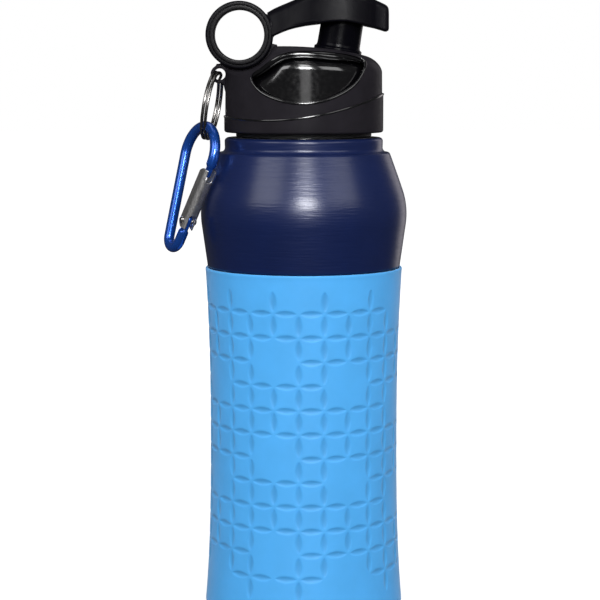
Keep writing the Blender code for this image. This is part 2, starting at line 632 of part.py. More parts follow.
# ---------------------------------------------------------------- carabiner
class CarabinerPlane:
    """The carabiner's own plane: 'along' runs down its spine and 'across' from spine to gate."""

    def __init__(self):
        hanging = Vector((-math.sin(CARABINER_TILT), 0, -math.cos(CARABINER_TILT)))
        self.along = (hanging - Vector((0, math.tan(CARABINER_SWAY), 0))).normalized()
        level = Vector((math.cos(CARABINER_TURN), -math.sin(CARABINER_TURN), 0))
        self.across = (level - self.along * level.dot(self.along)).normalized()
        self.normal = self.along.cross(self.across)
        top = (-CARABINER_TOP_R, CARABINER_TOP_R)
        self.origin = CARABINER_HANG - self.along * top[0] - self.across * top[1]
        # the gate's line touches both bows on their outer side
        self.slant = math.asin((CARABINER_TOP_R - CARABINER_FOOT_R)
                               / math.hypot(CARABINER_BOW_SPAN, CARABINER_TOP_R - CARABINER_FOOT_R))
        self.slant += math.atan2(CARABINER_TOP_R - CARABINER_FOOT_R, CARABINER_BOW_SPAN)
        self.gate_top = (CARABINER_TOP_R * math.sin(self.slant),
                         CARABINER_TOP_R * (1 + math.cos(self.slant)))
        self.gate_along = (math.cos(self.slant), -math.sin(self.slant))
        self.gate_out = (math.sin(self.slant), math.cos(self.slant))

    def point(self, along, across, lift=0.0):
        return self.origin + self.along * along + self.across * across + self.normal * lift

    def on_gate(self, run, out=0.0, lift=0.0):
        """A point counted down the gate's line from the top bow, outwards and off the plane."""
        return self.point(self.gate_top[0] + self.gate_along[0] * run + self.gate_out[0] * out,
                          self.gate_top[1] + self.gate_along[1] * run + self.gate_out[1] * out, lift)

    def gate_run(self):
        """Length of the straight gate side between the two bows."""
        foot = (CARABINER_BOW_SPAN + CARABINER_FOOT_R * math.sin(self.slant),
                CARABINER_FOOT_R * (1 + math.cos(self.slant)))
        return math.hypot(foot[0] - self.gate_top[0], foot[1] - self.gate_top[1])


GATE_TIP = 1.6 * MM                # where the gate's ears end, down the gate's line
NOSE_END = 4.4 * MM                # end of the nose tongue
NOSE_NECK = 1.0 * MM               # where the nose starts to narrow
TANG_BACK = 8.3 * MM               # from the end of the gate's line up to the rivet
TANG_END = 10.4 * MM
TANG_NECK = 5.0 * MM               # where the rod narrows to the tang
GATE_TAIL = 5.6 * MM


def frame_path(plane):
    """(point, in-plane outward direction, half width in plane, half thickness) along the rod."""
    rod = CARABINER_ROD_R
    tongue = TONGUE_HALF_THICK
    run = plane.gate_run()
    gate_out = plane.across * plane.gate_out[1] + plane.along * plane.gate_out[0]
    path = [(plane.on_gate(NOSE_END), gate_out, 1.2 * MM, tongue),
            (plane.on_gate(NOSE_END - 0.7 * MM), gate_out, 1.6 * MM, tongue),
            (plane.on_gate(NOSE_NECK), gate_out, 1.7 * MM, tongue),
            (plane.on_gate(NOSE_NECK - 1.0 * MM), gate_out, rod, rod)]
    slant = math.degrees(plane.slant)
    for step in range(11):
        angle = math.radians(slant + (-180 - slant) * step / 10)
        outward = plane.across * math.cos(angle) + plane.along * math.sin(angle)
        centre = plane.point(0, CARABINER_TOP_R)
        path.append((centre + outward * CARABINER_TOP_R, outward, rod, rod))
    for step in range(1, 4):
        path.append((plane.point(CARABINER_BOW_SPAN * step / 4, 0), -plane.across, rod, rod))
    for step in range(9):
        angle = math.radians(180 - (180 - slant) * step / 8)
        outward = plane.across * math.cos(angle) + plane.along * math.sin(angle)
        centre = plane.point(CARABINER_BOW_SPAN, CARABINER_FOOT_R)
        path.append((centre + outward * CARABINER_FOOT_R, outward, rod, rod))
    path += [(plane.on_gate(run - TANG_NECK + 1.0 * MM), gate_out, rod, rod),
             (plane.on_gate(run - TANG_NECK), gate_out, 1.75 * MM, tongue),
             (plane.on_gate(run - TANG_BACK), gate_out, 1.75 * MM, tongue),
             (plane.on_gate(run - TANG_END + 0.7 * MM), gate_out, 1.5 * MM, tongue),
             (plane.on_gate(run - TANG_END), gate_out, 0.7 * MM, tongue)]
    return path


def make_carabiner(frame_material, gate_material, rivet_material, spring_material):
    plane = CarabinerPlane()
    run = plane.gate_run()
    rivet = plane.on_gate(run - TANG_BACK)
    sections = []
    for middle, outward, half_width, half_thick in frame_path(plane):
        section = []
        for index in range(10):
            angle = math.tau * (index + 0.5) / 10
            section.append(middle + outward * half_width * math.cos(angle)
                           + plane.normal * half_thick * math.sin(angle))
        sections.append(section)
    frame = add_object("carabiner_frame", skin_sections(sections), frame_material,
                       origin=CARABINER_HANG)
    gate_axis = Matrix((plane.across * plane.gate_out[1] + plane.along * plane.gate_out[0],
                        plane.normal,
                        plane.along * plane.gate_along[0] + plane.across * plane.gate_along[1]))
    gate_axis = gate_axis.transposed().to_4x4()

    def box_on_gate(name, out, lift, run_span, material=None):
        """A box between (out, lift, run) limits in the gate's own directions."""
        bm = bmesh.new()
        bmesh.ops.create_cube(bm, size=1.0)
        size = [high - low for low, high in (out, lift, run_span)]
        middle = [(high + low) / 2 for low, high in (out, lift, run_span)]
        placing = (Matrix.Translation(plane.on_gate(0)) @ gate_axis
                   @ Matrix.Translation(middle) @ Matrix.Diagonal((*size, 1.0)))
        bmesh.ops.transform(bm, matrix=placing, verts=bm.verts)
        return add_object(name, bm, material)

    tail = run - GATE_TAIL
    out_low, out_high = -GATE_HALF_DEPTH, GATE_HALF_DEPTH + GATE_SHEET
    gate = box_on_gate("carabiner_gate", (out_low, out_high), (-GATE_HALF_W, GATE_HALF_W),
                       (GATE_TIP, tail), gate_material)
    inner_w = GATE_HALF_W - GATE_SHEET
    cut(gate, box_on_gate("gate_channel_tool", (out_low - 1 * MM, GATE_HALF_DEPTH),
                          (-inner_w, inner_w), (GATE_TIP - 1 * MM, tail + 1 * MM)),
        box_on_gate("gate_notch_tool", (0, out_high + 1 * MM), (-1.35 * MM, 1.35 * MM),
                    (GATE_TIP - 1 * MM, NOSE_END + 1.8 * MM)),
        box_on_gate("gate_slot_tool", (0, out_high + 1 * MM), (-1.35 * MM, 1.35 * MM),
                    (run - TANG_END - 1.2 * MM, tail + 1 * MM)))

    # shapes on the rivet's axis are made round Z and turned so that Z lies along the normal
    turn = plane.normal.to_track_quat("Z", "Y").to_matrix().to_4x4()
    on_rivet = Matrix.Translation(rivet) @ turn
    for name, target in (("gate_rivet_tool", gate), ("frame_rivet_tool", frame)):
        bm = rod_bmesh(RIVET_R + GAP * 0.7, -5 * MM, 5 * MM, 14)
        bmesh.ops.transform(bm, matrix=on_rivet, verts=bm.verts)
        cut(target, add_object(name, bm))
    head_z = GATE_HALF_W + 0.2 * MM
    profile = [(0.0, -head_z - 0.75 * MM), (0.9 * MM, -head_z - 0.6 * MM), (1.5 * MM, -head_z),
               (RIVET_R, -head_z), (RIVET_R, head_z), (1.5 * MM, head_z),
               (0.9 * MM, head_z + 0.6 * MM), (0.0, head_z + 0.75 * MM)]
    bm = turned(profile, 14, False)
    bmesh.ops.transform(bm, matrix=on_rivet, verts=bm.verts)
    add_object("gate_rivet", bm, rivet_material)
    make_gate_spring(plane, run, spring_material)


def make_gate_spring(plane, run, material):
    """Small coil inside the gate, between the tang's round end and the middle of the gate."""
    coil_r = 1.05 * MM
    wire_r = 0.22 * MM
    turns = 5
    start = NOSE_END + 1.5 * MM
    end = run - TANG_END - 0.6 * MM
    steps = turns * 10
    sections = []
    for step in range(steps + 1):
        angle = math.tau * turns * step / steps
        at = start + (end - start) * step / steps
        middle = plane.on_gate(at, coil_r * math.cos(angle), coil_r * math.sin(angle))
        out = plane.on_gate(at, (coil_r + wire_r) * math.cos(angle),
                            (coil_r + wire_r) * math.sin(angle)) - middle
        down = plane.on_gate(at + wire_r) - plane.on_gate(at)
        section = [middle + out * math.cos(math.tau * index / 5) + down * math.sin(math.tau * index / 5)
                   for index in range(5)]
        sections.append(section)
    add_object("gate_spring", skin_sections(sections), material)


def main():
    clear_scene()
    make_boot(make_material("light blue silicone", (0.09, 0.44, 0.86), 0.55))
    make_outer_vessel(make_material("navy satin coat", (0.012, 0.02, 0.075), 0.32, 0.6))
    make_liner(make_material("bare steel", (0.55, 0.56, 0.58), 0.3, 1.0))
    make_shell(make_material("matte black plastic", (0.012, 0.012, 0.013), 0.5))
    make_core(make_material("glossy black plastic", (0.008, 0.008, 0.009), 0.15))
    make_seal(make_material("black silicone seal", (0.01, 0.01, 0.01), 0.6))
    make_spout(make_material("spout plastic", (0.012, 0.012, 0.013), 0.35))
    make_spout_seal(make_material("spout seal silicone", (0.3, 0.3, 0.3), 0.6))
    make_lever(make_material("lever plastic", (0.012, 0.012, 0.013), 0.45))
    make_plug(make_material("plug silicone", (0.35, 0.35, 0.35), 0.6))
    make_bushes(make_material("bush plastic", (0.014, 0.014, 0.015), 0.4))
    make_split_ring(make_material("nickel wire", (0.7, 0.69, 0.66), 0.15, 1.0))
    make_carabiner(make_material("blue anodised aluminium", (0.01, 0.09, 0.5), 0.2, 0.9),
                   make_material("gate steel", (0.6, 0.6, 0.6), 0.35, 1.0),
                   make_material("rivet steel", (0.75, 0.75, 0.75), 0.2, 1.0),
                   make_material("spring steel", (0.4, 0.4, 0.4), 0.4, 1.0))


main()
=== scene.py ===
"""Looks of the insulated sports bottle: a grooved silicone boot on a turned navy vessel, a black
screw cap with a glossy core behind a beaded oval window, a flip lever over a tilted spout, a
split ring and a carabiner. Every shape is built here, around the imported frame.

Shapes are drawn in millimetres and turned into metres when their mesh is made.
"""

import math

import bmesh
import bpy
import numpy as np
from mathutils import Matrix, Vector


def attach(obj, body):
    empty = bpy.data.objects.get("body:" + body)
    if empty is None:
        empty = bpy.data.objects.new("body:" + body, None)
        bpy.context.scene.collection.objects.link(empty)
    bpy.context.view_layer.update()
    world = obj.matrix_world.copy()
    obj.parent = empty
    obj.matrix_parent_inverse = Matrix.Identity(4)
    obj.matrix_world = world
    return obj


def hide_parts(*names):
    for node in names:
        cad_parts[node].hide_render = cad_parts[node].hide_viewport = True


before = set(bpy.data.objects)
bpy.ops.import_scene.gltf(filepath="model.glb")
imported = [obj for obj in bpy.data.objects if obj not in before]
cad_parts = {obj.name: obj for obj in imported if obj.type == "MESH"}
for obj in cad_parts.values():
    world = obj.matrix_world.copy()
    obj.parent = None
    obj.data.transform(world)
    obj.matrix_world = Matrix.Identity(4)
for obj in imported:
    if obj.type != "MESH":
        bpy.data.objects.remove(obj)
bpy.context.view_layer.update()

MM = 0.001
FINE = 256  # segments round the large turned pieces
SHARP = math.radians(50)  # edges that turn more than this stay crisp

# ---------------- dimensions, mm
BOOT_TOP_Z = 130.3
BOOT_WAIST_Z = 76.0
BOOT_WAIST_R = 35.3
BOOT_TOP_FLARE = 1.65
BOOT_BASE_FLARE = 2.4
BOOT_WALL = 1.1
BOOT_FLOOR = 2.0
BOOT_EDGE_R = 3.2
GAP = 0.3

BULGE_R = 39.25
BULGE_Z = 153.0
SHOULDER_MID_R = 35.4
SHOULDER_MID_Z = 164.2
SHOULDER_TOP_R = 32.1
SHOULDER_TOP_Z = 173.3
COLLAR_R = 29.65
VESSEL_WALL = 0.9
LINER_WALL = 0.8
LINER_SPACE = 3.2  # between the bulge and the liner inside it
LINER_BASE_Z = 7.0
RIM_Z = 178.8
NECK_R = 24.6
PLUG_R = 23.2
PLUG_BORE_R = 21.2
PLUG_BOTTOM_Z = 165.5
THREAD_PITCH = 4.0
THREAD_TURNS = 1.25

CAP_BOTTOM_Z = 180.7
CAP_BAND_R = 29.7
CAP_TOP_Z = 212.35
CAP_CROWN_R = 6.5
CAP_WALL = 1.2
CORE_R = 27.5
CORE_TOP_Z = 208.4
CORE_RISE_R = 22.3
CORE_HOLLOW_R = 25.2
CORE_HOLLOW_Z = 198.0
FLANGE_Z = CAP_BOTTOM_Z + 0.6
FLANGE_R = 27.0
CROWN_FALL = 0.0035
CROWN_FALL_X = -8.0
CROWN_LEAN_Z = 194.0

PIVOT = np.array([-23.9, 0.0, 216.7])
RING_R = 12.56
RING_HOLE_R = 9.25
EYE_HOLE_R = 10.0
EYE_R = 12.2
EYE_HALF_THICK = 1.75
RING_HALF_THICK = 4.6
BUSH_SEAT_R = 11.9
BUSH_SEAT_Y = 3.9
SCOOP = np.array([-23.6, 0.0, 216.9])
SCOOP_R = 13.7
LIP_SCOOP_R = 16.4
WEB_R = 14.4

SPOUT_FOOT = np.array([12.6, 0.0, 210.7])
SPOUT_TILT = math.radians(9.0)
SPOUT_R = 8.0
SPOUT_BORE_R = 5.9
SPOUT_TOP_S = 15.5  # counted along the spout from its foot
SPOUT_POCKET_R = 9.2
PLUG_HEAD = 2.0  # height of the mouth plug above the spout
LEVER_HOLLOW_R = 9.3

EYELET = np.array([-31.3, 0.0, 202.2])
EYELET_R = 3.4
EYELET_HOLE_R = 2.15


# ---------------- mesh helpers
def put(name, data):
    """Add an object to the scene."""
    made = bpy.data.objects.new(name, data)
    bpy.context.scene.collection.objects.link(made)
    return made


def add_piece(name, shape, body, slot, *nodes):
    """Make one shown piece of (points in mm, faces) or (points, faces, normals) with its slot's
    look, tie it to its CAD body, and let it stand for the CAD nodes named last."""
    points, faces, *normals = shape
    mesh = bpy.data.meshes.new(name)
    mesh.from_pydata(np.asarray(points, float) * MM, [], faces)
    if not normals:
        work = bmesh.new()
        work.from_mesh(mesh)
        bmesh.ops.remove_doubles(work, verts=work.verts, dist=1e-7)
        bmesh.ops.recalc_face_normals(work, faces=work.faces)
        work.to_mesh(mesh)
        work.free()
    mesh.shade_smooth()
    if normals:
        mesh.normals_split_custom_set_from_vertices(normals[0])
    else:
        mesh.set_sharp_from_angle(angle=SHARP)
    mesh.materials.append(looks[slot])
    piece = put(name, mesh)
    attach(piece, body)
    if nodes:
        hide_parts(*nodes)
    return piece


def add_pair(name, make_shape, body, slot, node=None):
    """Add a piece for the front and one for the back; make_shape takes -1 or 1 for the side."""
    for side, word in ((-1, "front"), (1, "back")):
        nodes = [f"{node}_{word}"] if node else []
        add_piece(f"{name}_{word}", make_shape(side), body, slot, *nodes)


def rounded(corners, steps=8):
    """Turn (r, z, fillet radius) corners into outline points, each fillet an arc of chords."""
    points = []
    last = len(corners) - 1
    for index, (r, z, fillet) in enumerate(corners):
        here = Vector((r, z))
        if fillet == 0.0 or index in (0, last):
            points.append((r, z))
            continue
        before = (Vector(corners[index - 1][:2]) - here).normalized()
        after = (Vector(corners[index + 1][:2]) - here).normalized()
        half = before.angle(after) / 2
        reach = fillet / math.tan(half)
        centre = here + (before + after).normalized() * (fillet / math.sin(half))
        start = here + before * reach - centre
        end = here + after * reach - centre
        swept = start.angle(end)
        for step in range(steps + 1):
            share = step / steps
            spoke = start * math.sin((1 - share) * swept) + end * math.sin(share * swept)
            points.append(tuple(centre + spoke / math.sin(swept)))
    return points


def ring_points(r, turns, z):
    """Points round Z at these turns; r, z and turns are spread over each other."""
    r, turns, z = np.broadcast_arrays(r, turns, z)
    return np.stack([r * np.cos(turns), r * np.sin(turns), z], -1)


def grid_faces(rows, columns, wrap_rows):
    """Quads over a grid of points counted row by row, whose columns close into rings."""
    r = np.arange(rows if wrap_rows else rows - 1)
    r, c = (a.ravel() for a in np.meshgrid(r, np.arange(columns), indexing="ij"))
    r2, c2 = (r + 1) % rows, (c + 1) % columns
    return np.stack([r * columns + c, r * columns + c2, r2 * columns + c2, r2 * columns + c], 1)


def lathe(corners, steps=8, segments=FINE):
    """Round (r, z, fillet radius) corners and spin them round Z: points and quads. An outline
    that starts off the axis closes into a ring."""
    outline = np.array(rounded(corners, steps), float)
    turns = np.arange(segments) * math.tau / segments
    points = ring_points(outline[:, :1], turns, outline[:, 1:]).reshape(-1, 3)
    return points, grid_faces(len(outline), segments, corners[0][0] > 0)


def on_spout(shape):
    """Place a shape made round Z, with z counted from the foot, on the spout's leaning axis."""
    c, s = math.cos(SPOUT_TILT), math.sin(SPOUT_TILT)
    x, y, z = np.asarray(shape[0]).T
    return np.stack([c * x + s * z, y, c * z - s * x], 1) + SPOUT_FOOT, shape[1]


def on_pivot(shape, side):
    """Lay a shape made round Z on the pivot's axis, its +Z end towards the front or back."""
    x, y, z = np.asarray(shape[0]).T
    return np.stack([x, side * z, y], 1) + PIVOT, shape[1]


def sweep(sections, closed=False):
    """Join equal loops of points into a tube, closed into a ring or with domed ends."""
    sections = [np.asarray(section, float) for section in sections]
    if not closed:
        sections = (dome(sections[0], sections[1]) + sections
                    + dome(sections[-1], sections[-2])[::-1])
    rows, columns = len(sections), len(sections[0])
    faces = grid_faces(rows, columns, closed).tolist()
    if not closed:
        faces += [list(range(columns)), list(range((rows - 1) * columns, rows * columns))]
    return np.concatenate(sections), faces


def dome(end, inner):
    """Loops that round off the end of a tube by half its radius, outermost first."""
    centre = end.mean(0)
    out = centre - inner.mean(0)
    out *= 0.5 * np.linalg.norm(end - centre, axis=1).min() / np.linalg.norm(out)
    return [centre + (end - centre) * math.cos(angle) + out * math.sin(angle)
            for angle in map(math.radians, (88, 65, 42, 20))]


def through(points, steps, closed=False):
    """Points of a Catmull-Rom curve through a row of points."""
    points = np.array(points, float)
    count = len(points)
    result = []
    for index in range(count if closed else count - 1):
        near = [index + shift for shift in (-1, 0, 1, 2)]
        p0, p1, p2, p3 = (points[at % count if closed else min(max(at, 0), count - 1)]
                          for at in near)
        for step in range(steps):
            t = step / steps
            result.append(0.5 * (2 * p1 + (p2 - p0) * t + (2 * p0 - 5 * p1 + 4 * p2 - p3) * t ** 2
                                 + (3 * p1 - p0 - 3 * p2 + p3) * t ** 3))
    if not closed:
        result.append(points[-1])
    return np.array(result)


def curve_through(xs, ys):
    """A smooth function through stations, for fields that vary along X."""
    table = through(np.stack([xs, ys], 1), 12)
    return lambda x: np.interp(x, table[:, 0], table[:, 1])


def squared_loop(middle, wide, tall, power, count, start=0.0):
    """A loop round a wire's middle, squarer than an ellipse where the power is under 1."""
    turns = math.tau * (np.arange(count) + start) / count
    c, s = (np.copysign(np.abs(share) ** power, share)[:, None]
            for share in (np.cos(turns), np.sin(turns)))
    return middle + wide * c + tall * s


# ---------------- distance fields
REACH = 0.02  # half the span over which a field's slope is taken


def smooth_max(a, b, k):
    """The larger of two fields, rounded over where they are within k of each other."""
    h = np.maximum(k - np.abs(a - b), 0.0) / k
    return np.maximum(a, b) + h * h * k * 0.25


def smooth_min(a, b, k):
    return -smooth_max(-a, -b, k)


def cut(body, tool, k):
    return smooth_max(body, -tool, k)


def corner_field(a, b):
    """Distance to the inside of the square corner that two flat fields make."""
    outside = np.sqrt(np.maximum(a, 0) ** 2 + np.maximum(b, 0) ** 2)
    return outside + np.minimum(np.maximum(a, b), 0)


def from_axis(x, z, centre):
    """Distance from the line along Y through a centre."""
    return np.sqrt((x - centre[0]) ** 2 + (z - centre[2]) ** 2)


def disc_field(x, y, z, centre, radius, half_width, edge):
    """Distance to a disc that lies round Y, with rounded edges."""
    side = np.abs(y - centre[1]) - (half_width - edge)
    return corner_field(from_axis(x, z, centre) - (radius - edge), side) - edge


def spout_place(x, y, z):
    """How far along the spout's axis from its foot, and how far from that axis."""
    x, z = x - SPOUT_FOOT[0], z - SPOUT_FOOT[2]
    axis_x, axis_z = math.sin(SPOUT_TILT), math.cos(SPOUT_TILT)
    return x * axis_x + z * axis_z, np.sqrt((x * axis_z - z * axis_x) ** 2 + y ** 2)


def outline_field(x, z, outline):
    """Distance in the XZ plane to a closed outline, less than zero inside it."""
    best = np.full(np.broadcast(x, z).shape, 1e9)
    inside = np.zeros(best.shape, bool)
    for (ax, az), (bx, bz) in zip(outline, np.roll(outline, -1, 0)):
        ex, ez = bx - ax, bz - az
        along = np.clip(((x - ax) * ex + (z - az) * ez) / (ex * ex + ez * ez), 0, 1)
        best = np.minimum(best, (x - ax - along * ex) ** 2 + (z - az - along * ez) ** 2)
        crosses = (az > z) != (bz > z)
        with np.errstate(divide="ignore", invalid="ignore"):
            left = x < ax + (z - az) / (ez if ez else 1e-9) * ex
        inside ^= crosses & left
    return np.sqrt(best) * np.where(inside, -1, 1)


def neighbours(grid, axis, rest=slice(None)):
    """A grid without its last layer along an axis, and without its first."""
    first, second = [rest] * 3, [rest] * 3
    first[axis], second[axis] = slice(None, -1), slice(1, None)
    return grid[tuple(first)], grid[tuple(second)]


def surface_net(field, low, high, step):
    """Mesh the zero level of a field inside a box: points, quads and normals."""
    low = np.array(low, float)
    counts = np.ceil((np.array(high) - low) / step).astype(int) + 1
    axes = [low[i] + step * np.arange(counts[i]) for i in range(3)]
    block = 8
    centres = [axes[i][0] + step * (np.arange(0, counts[i], block) + (block - 1) / 2)
               for i in range(3)]
    coarse = field(*np.ix_(*centres))
    values = coarse.astype(np.float32).repeat(block, 0).repeat(block, 1).repeat(block, 2)
    values = values[:counts[0], :counts[1], :counts[2]].copy()
    near = np.argwhere(np.abs(coarse) < step * block * 1.25)
    for chunk in np.array_split(near, max(1, len(near) // 1500)):
        ix, iy, iz = (np.minimum(chunk[:, i:i + 1] * block + np.arange(block), counts[i] - 1)
                      for i in range(3))
        ix, iy, iz = ix[:, :, None, None], iy[:, None, :, None], iz[:, None, None, :]
        values[ix, iy, iz] = field(axes[0][ix], axes[1][iy], axes[2][iz])

    inside = values < 0
    whole = inside.astype(np.int8)
    for axis in range(3):
        whole = np.add(*neighbours(whole, axis))
    active = (whole > 0) & (whole < 8)
    cells = np.argwhere(active)
    number = np.full(active.shape, -1, np.int64)
    number[active] = np.arange(len(cells))
    unit = np.eye(3, dtype=int)
    total = np.zeros((len(cells), 3))
    hits = np.zeros(len(cells))
    faces = []
    for axis in range(3):
        u, v = (axis + 1) % 3, (axis + 2) % 3
        for du in (0, 1):
            for dv in (0, 1):
                a = cells + du * unit[u] + dv * unit[v]
                b = a + unit[axis]
                at_a, at_b = values[tuple(a.T)], values[tuple(b.T)]
                crossed = (at_a < 0) != (at_b < 0)
                with np.errstate(divide="ignore", invalid="ignore"):
                    share = np.where(crossed, at_a / (at_a - at_b), 0)
                total += (a + share[:, None] * unit[axis]) * crossed[:, None]
                hits += crossed
        before, after = neighbours(inside, axis, slice(1, -1))
        for keep, flip in ((before & ~after, 1), (after & ~before, -1)):
            edge = np.argwhere(keep) + unit[u] + unit[v]
            quad = [edge - unit[u] - unit[v], edge - unit[v], edge, edge - unit[u]][::flip]
            faces.append(np.stack([number[tuple(corner.T)] for corner in quad], 1))
    points = low + step * total / hits[:, None]
    faces = np.concatenate(faces)
    for _ in range(3):
        value = field(*points.T)
        slope = np.stack([field(*(points + shift).T) - field(*(points - shift).T)
                          for shift in REACH * unit], 1) / (2 * REACH)
        move = slope * (value / np.maximum((slope ** 2).sum(1), 0.3))[:, None]
        points = points - np.clip(move, -0.5 * step, 0.5 * step)
    slope /= np.maximum(np.linalg.norm(slope, axis=1, keepdims=True), 1e-9)
    return points, faces, slope


# ---------------- materials
def add_node(tree, kind, inputs, **settings):
    """Add a node with its settings; an input takes a value, or a link from another's output."""
    node = tree.nodes.new("ShaderNode" + kind)
    for name, value in settings.items():
        setattr(node, name, value)
    for socket, value in inputs.items():
        if isinstance(value, bpy.types.NodeSocket):
            tree.links.new(value, node.inputs[socket])
        else:
            node.inputs[socket].default_value = value
    return node.outputs


class Look:
    """A Principled material whose nodes read the piece's own coordinates, in metres."""

    def __init__(self, name, color, roughness, metallic=0.0, sockets=()):
        self.material = bpy.data.materials.new(name)
        self.material.use_nodes = True
        self.material.diffuse_color = (*color, 1.0)
        self.tree = self.material.node_tree
        self.inputs = self.tree.nodes["Principled BSDF"].inputs
        self.color, self.roughness = color, roughness
        for socket, value in {"Base Color": (*color, 1.0), "Roughness": roughness,
                              "Metallic": metallic, **dict(sockets)}.items():
            self.inputs[socket].default_value = value
        self.place = self.add("TexCoord", {})["Object"]

    def add(self, kind, inputs, **settings):
        return add_node(self.tree, kind, inputs, **settings)

    def drive(self, socket, output):
        self.tree.links.new(output, self.inputs[socket])

    def noise(self, scale, detail, stretch=(1, 1, 1)):
        """A noise field with this many features to the metre, stretched along the axes."""
        place = self.add("Mapping", {"Vector": self.place, "Scale": stretch})["Vector"]
        return self.add("TexNoise", {"Vector": place, "Scale": scale, "Detail": detail})["Fac"]

    def spread(self, field, low, high, start=0.3, stop=0.7):
        """Map a noise field onto a range of values."""
        return self.add("MapRange", {"Value": field, "From Min": start, "From Max": stop,
                                     "To Min": low, "To Max": high})["Result"]

    def vary_color(self, field, low, high):
        """Vary the base colour between two shares of itself."""
        low, high = ((*(min(channel * share, 1.0) for channel in self.color), 1.0)
                     for share in (low, high))
        self.drive("Base Color", self.add("Mix", {
            "Factor": self.spread(field, 0.0, 1.0), "A": low, "B": high},
            data_type="RGBA")["Result"])

    def vary_roughness(self, field, low, high):
        self.drive("Roughness", self.spread(field, self.roughness * low, self.roughness * high))

    def paint_shade_by(self, attribute, share):
        """Paint shade: darken the base colour towards this share where a mesh attribute reaches 1.
        """
        amount = self.add("Attribute", {}, attribute_name=attribute)["Fac"]
        self.drive("Base Color", self.add("Mix", {
            "Factor": amount, "A": self.inputs["Base Color"].links[0].from_socket,
            "B": (share, share, share, 1.0)}, data_type="RGBA", blend_type="MULTIPLY")["Result"])

    def bump(self, field, depth_mm, coat):
        """Raise the surface by a field, and its clear coat with it where coat is true."""
        normal = self.add("Bump", {"Distance": depth_mm * MM, "Height": field})["Normal"]
        for socket in ("Normal", "Coat Normal") if coat else ("Normal",):
            self.drive(socket, normal)


TURNED = (0.09, 0.09, 1.0)  # how far a material's lines stretch along the axes
DRAWN = (0.02, 0.02, 3.0)
ROLLED = (1.6, 1.6, 0.25)
PLASTIC = (120, 3), (0.85, 1.15), (450, 4), (0.9, 1.15)
RUBBER = (300, 3), (0.9, 1.1), (900, 3), (0.9, 1.12), (3500, 2), 0.01
# slot: colour, roughness, metallic, other sockets, then the noise and range of the colour, the
# noise and range of the roughness, and the noise and depth in mm of the surface's grain
LOOKS = {
    "boot_silicone": ((0.070, 0.400, 0.86), 0.6, 0,
                      {"Specular IOR Level": 0.45, "Sheen Weight": 0.22, "Sheen Roughness": 0.4},
                      (90, 2), (0.96, 1.04), (600, 2), (0.9, 1.12), (5000, 2), 0.012),
    "navy_coat": ((0.0045, 0.0125, 0.069), 0.42, 0.2,
                  {"Specular IOR Level": 0.1, "Coat Weight": 1.0, "Coat Roughness": 0.28},
                  (60, 2), (0.92, 1.08), (1200, 2, TURNED), (0.88, 1.14), (1200, 2, TURNED),
                  0.075),
    "bare_steel": ((0.55, 0.56, 0.58), 0.3, 1, {}, (80, 2), (0.94, 1.04),
                   (1500, 3, DRAWN), (0.8, 1.25), (1500, 3, DRAWN), 0.006),
    "shell_plastic": ((0.0145, 0.0130, 0.0165), 0.42, 0, {"Specular IOR Level": 0.07},
                      *PLASTIC, (3800, 2), 0.012),
    "lever_plastic": ((0.0032, 0.0030, 0.0048), 0.34, 0, {"Specular IOR Level": 0.10},
                      *PLASTIC, (4200, 2), 0.009),
    "spout_plastic": ((0.0016, 0.0015, 0.0028), 0.24, 0, {"Specular IOR Level": 0.09},
                      *PLASTIC, (5000, 2), 0.005),
    "bush_plastic": ((0.0070, 0.0066, 0.0080), 0.30, 0, {"Specular IOR Level": 0.12},
                     *PLASTIC, (4200, 2), 0.007),
    "core_plastic": ((0.0015, 0.0014, 0.0020), 0.15, 0,
                     {"Specular IOR Level": 1.0, "Coat Weight": 0.8, "Coat Roughness": 0.12},
                     (100, 2), (0.9, 1.1), (700, 4), (0.75, 1.5), (700, 2), 0.004),
    "seal_silicone": ((0.010, 0.010, 0.010), 0.6, 0, {}, *RUBBER),
    "plug_silicone": ((0.33, 0.33, 0.34), 0.55, 0, {}, *RUBBER),
    "nickel_wire": ((0.27, 0.26, 0.25), 0.24, 1, {}, (500, 3), (0.86, 1.06),
                    (600, 3), (0.85, 1.25), (2500, 3), 0.0005),
    "blue_anodised": ((0.013, 0.105, 0.56), 0.24, 0.72,
                      {"Coat Weight": 1.0, "Coat Roughness": 0.13},
                      (220, 3), (0.9, 1.1), (300, 3), (0.9, 1.15), (1600, 3), 0.0004),
    "gate_sheet": ((0.66, 0.65, 0.65), 0.42, 1, {}, (2400, 4), (0.7, 1.15),
                   (1800, 4, ROLLED), (0.75, 1.35), (1800, 4, ROLLED), 0.012),
    "rivet_steel": ((0.70, 0.69, 0.68), 0.2, 1, {}, (900, 3), (0.85, 1.05),
                    (2000, 3), (0.8, 1.4), None, 0),
    "spring_wire": ((0.40, 0.40, 0.41), 0.35, 1, {}, (900, 3), (0.85, 1.1),
                    (1500, 3), (0.9, 1.12), None, 0),
}


def make_looks():
    """The material of each slot."""
    made = {}
    for name, (color, roughness, metallic, sockets, tone, tone_range, gloss, gloss_range,
               grain, depth) in LOOKS.items():
        look = made[name] = Look(name, color, roughness, metallic, sockets)
        look.vary_color(look.noise(*tone), *tone_range)
        look.vary_roughness(look.noise(*gloss), *gloss_range)
        if grain:
            look.bump(look.noise(*grain), depth, coat=name == "navy_coat")
    # painted shade: the boot's base colour darkens to 0.81 of itself in the bottoms of its grooves
    made["boot_silicone"].paint_shade_by("groove", 0.81)
    return {slot: look.material for slot, look in made.items()}


# ---------------- boot
BOOT_COLUMNS = 24
MARK_TURN = math.radians(-3.0)  # the pattern's first boundary, from -Y towards +X
TOP_ROW_Z = 116.4
ROW_PITCH = 8.88
ROWS = 12
FOOT_Z = 5.5  # top of the rounded foot
MARK_DEPTH = 0.4
LONG_MARK = (3.9, 1.3)  # half length and half width of a lying lens
TALL_MARK = (3.7, 1.45)  # half height and half width of a standing lens
BLANK_START = {0: 2, 1: 3, 2: 4, 3: 3}


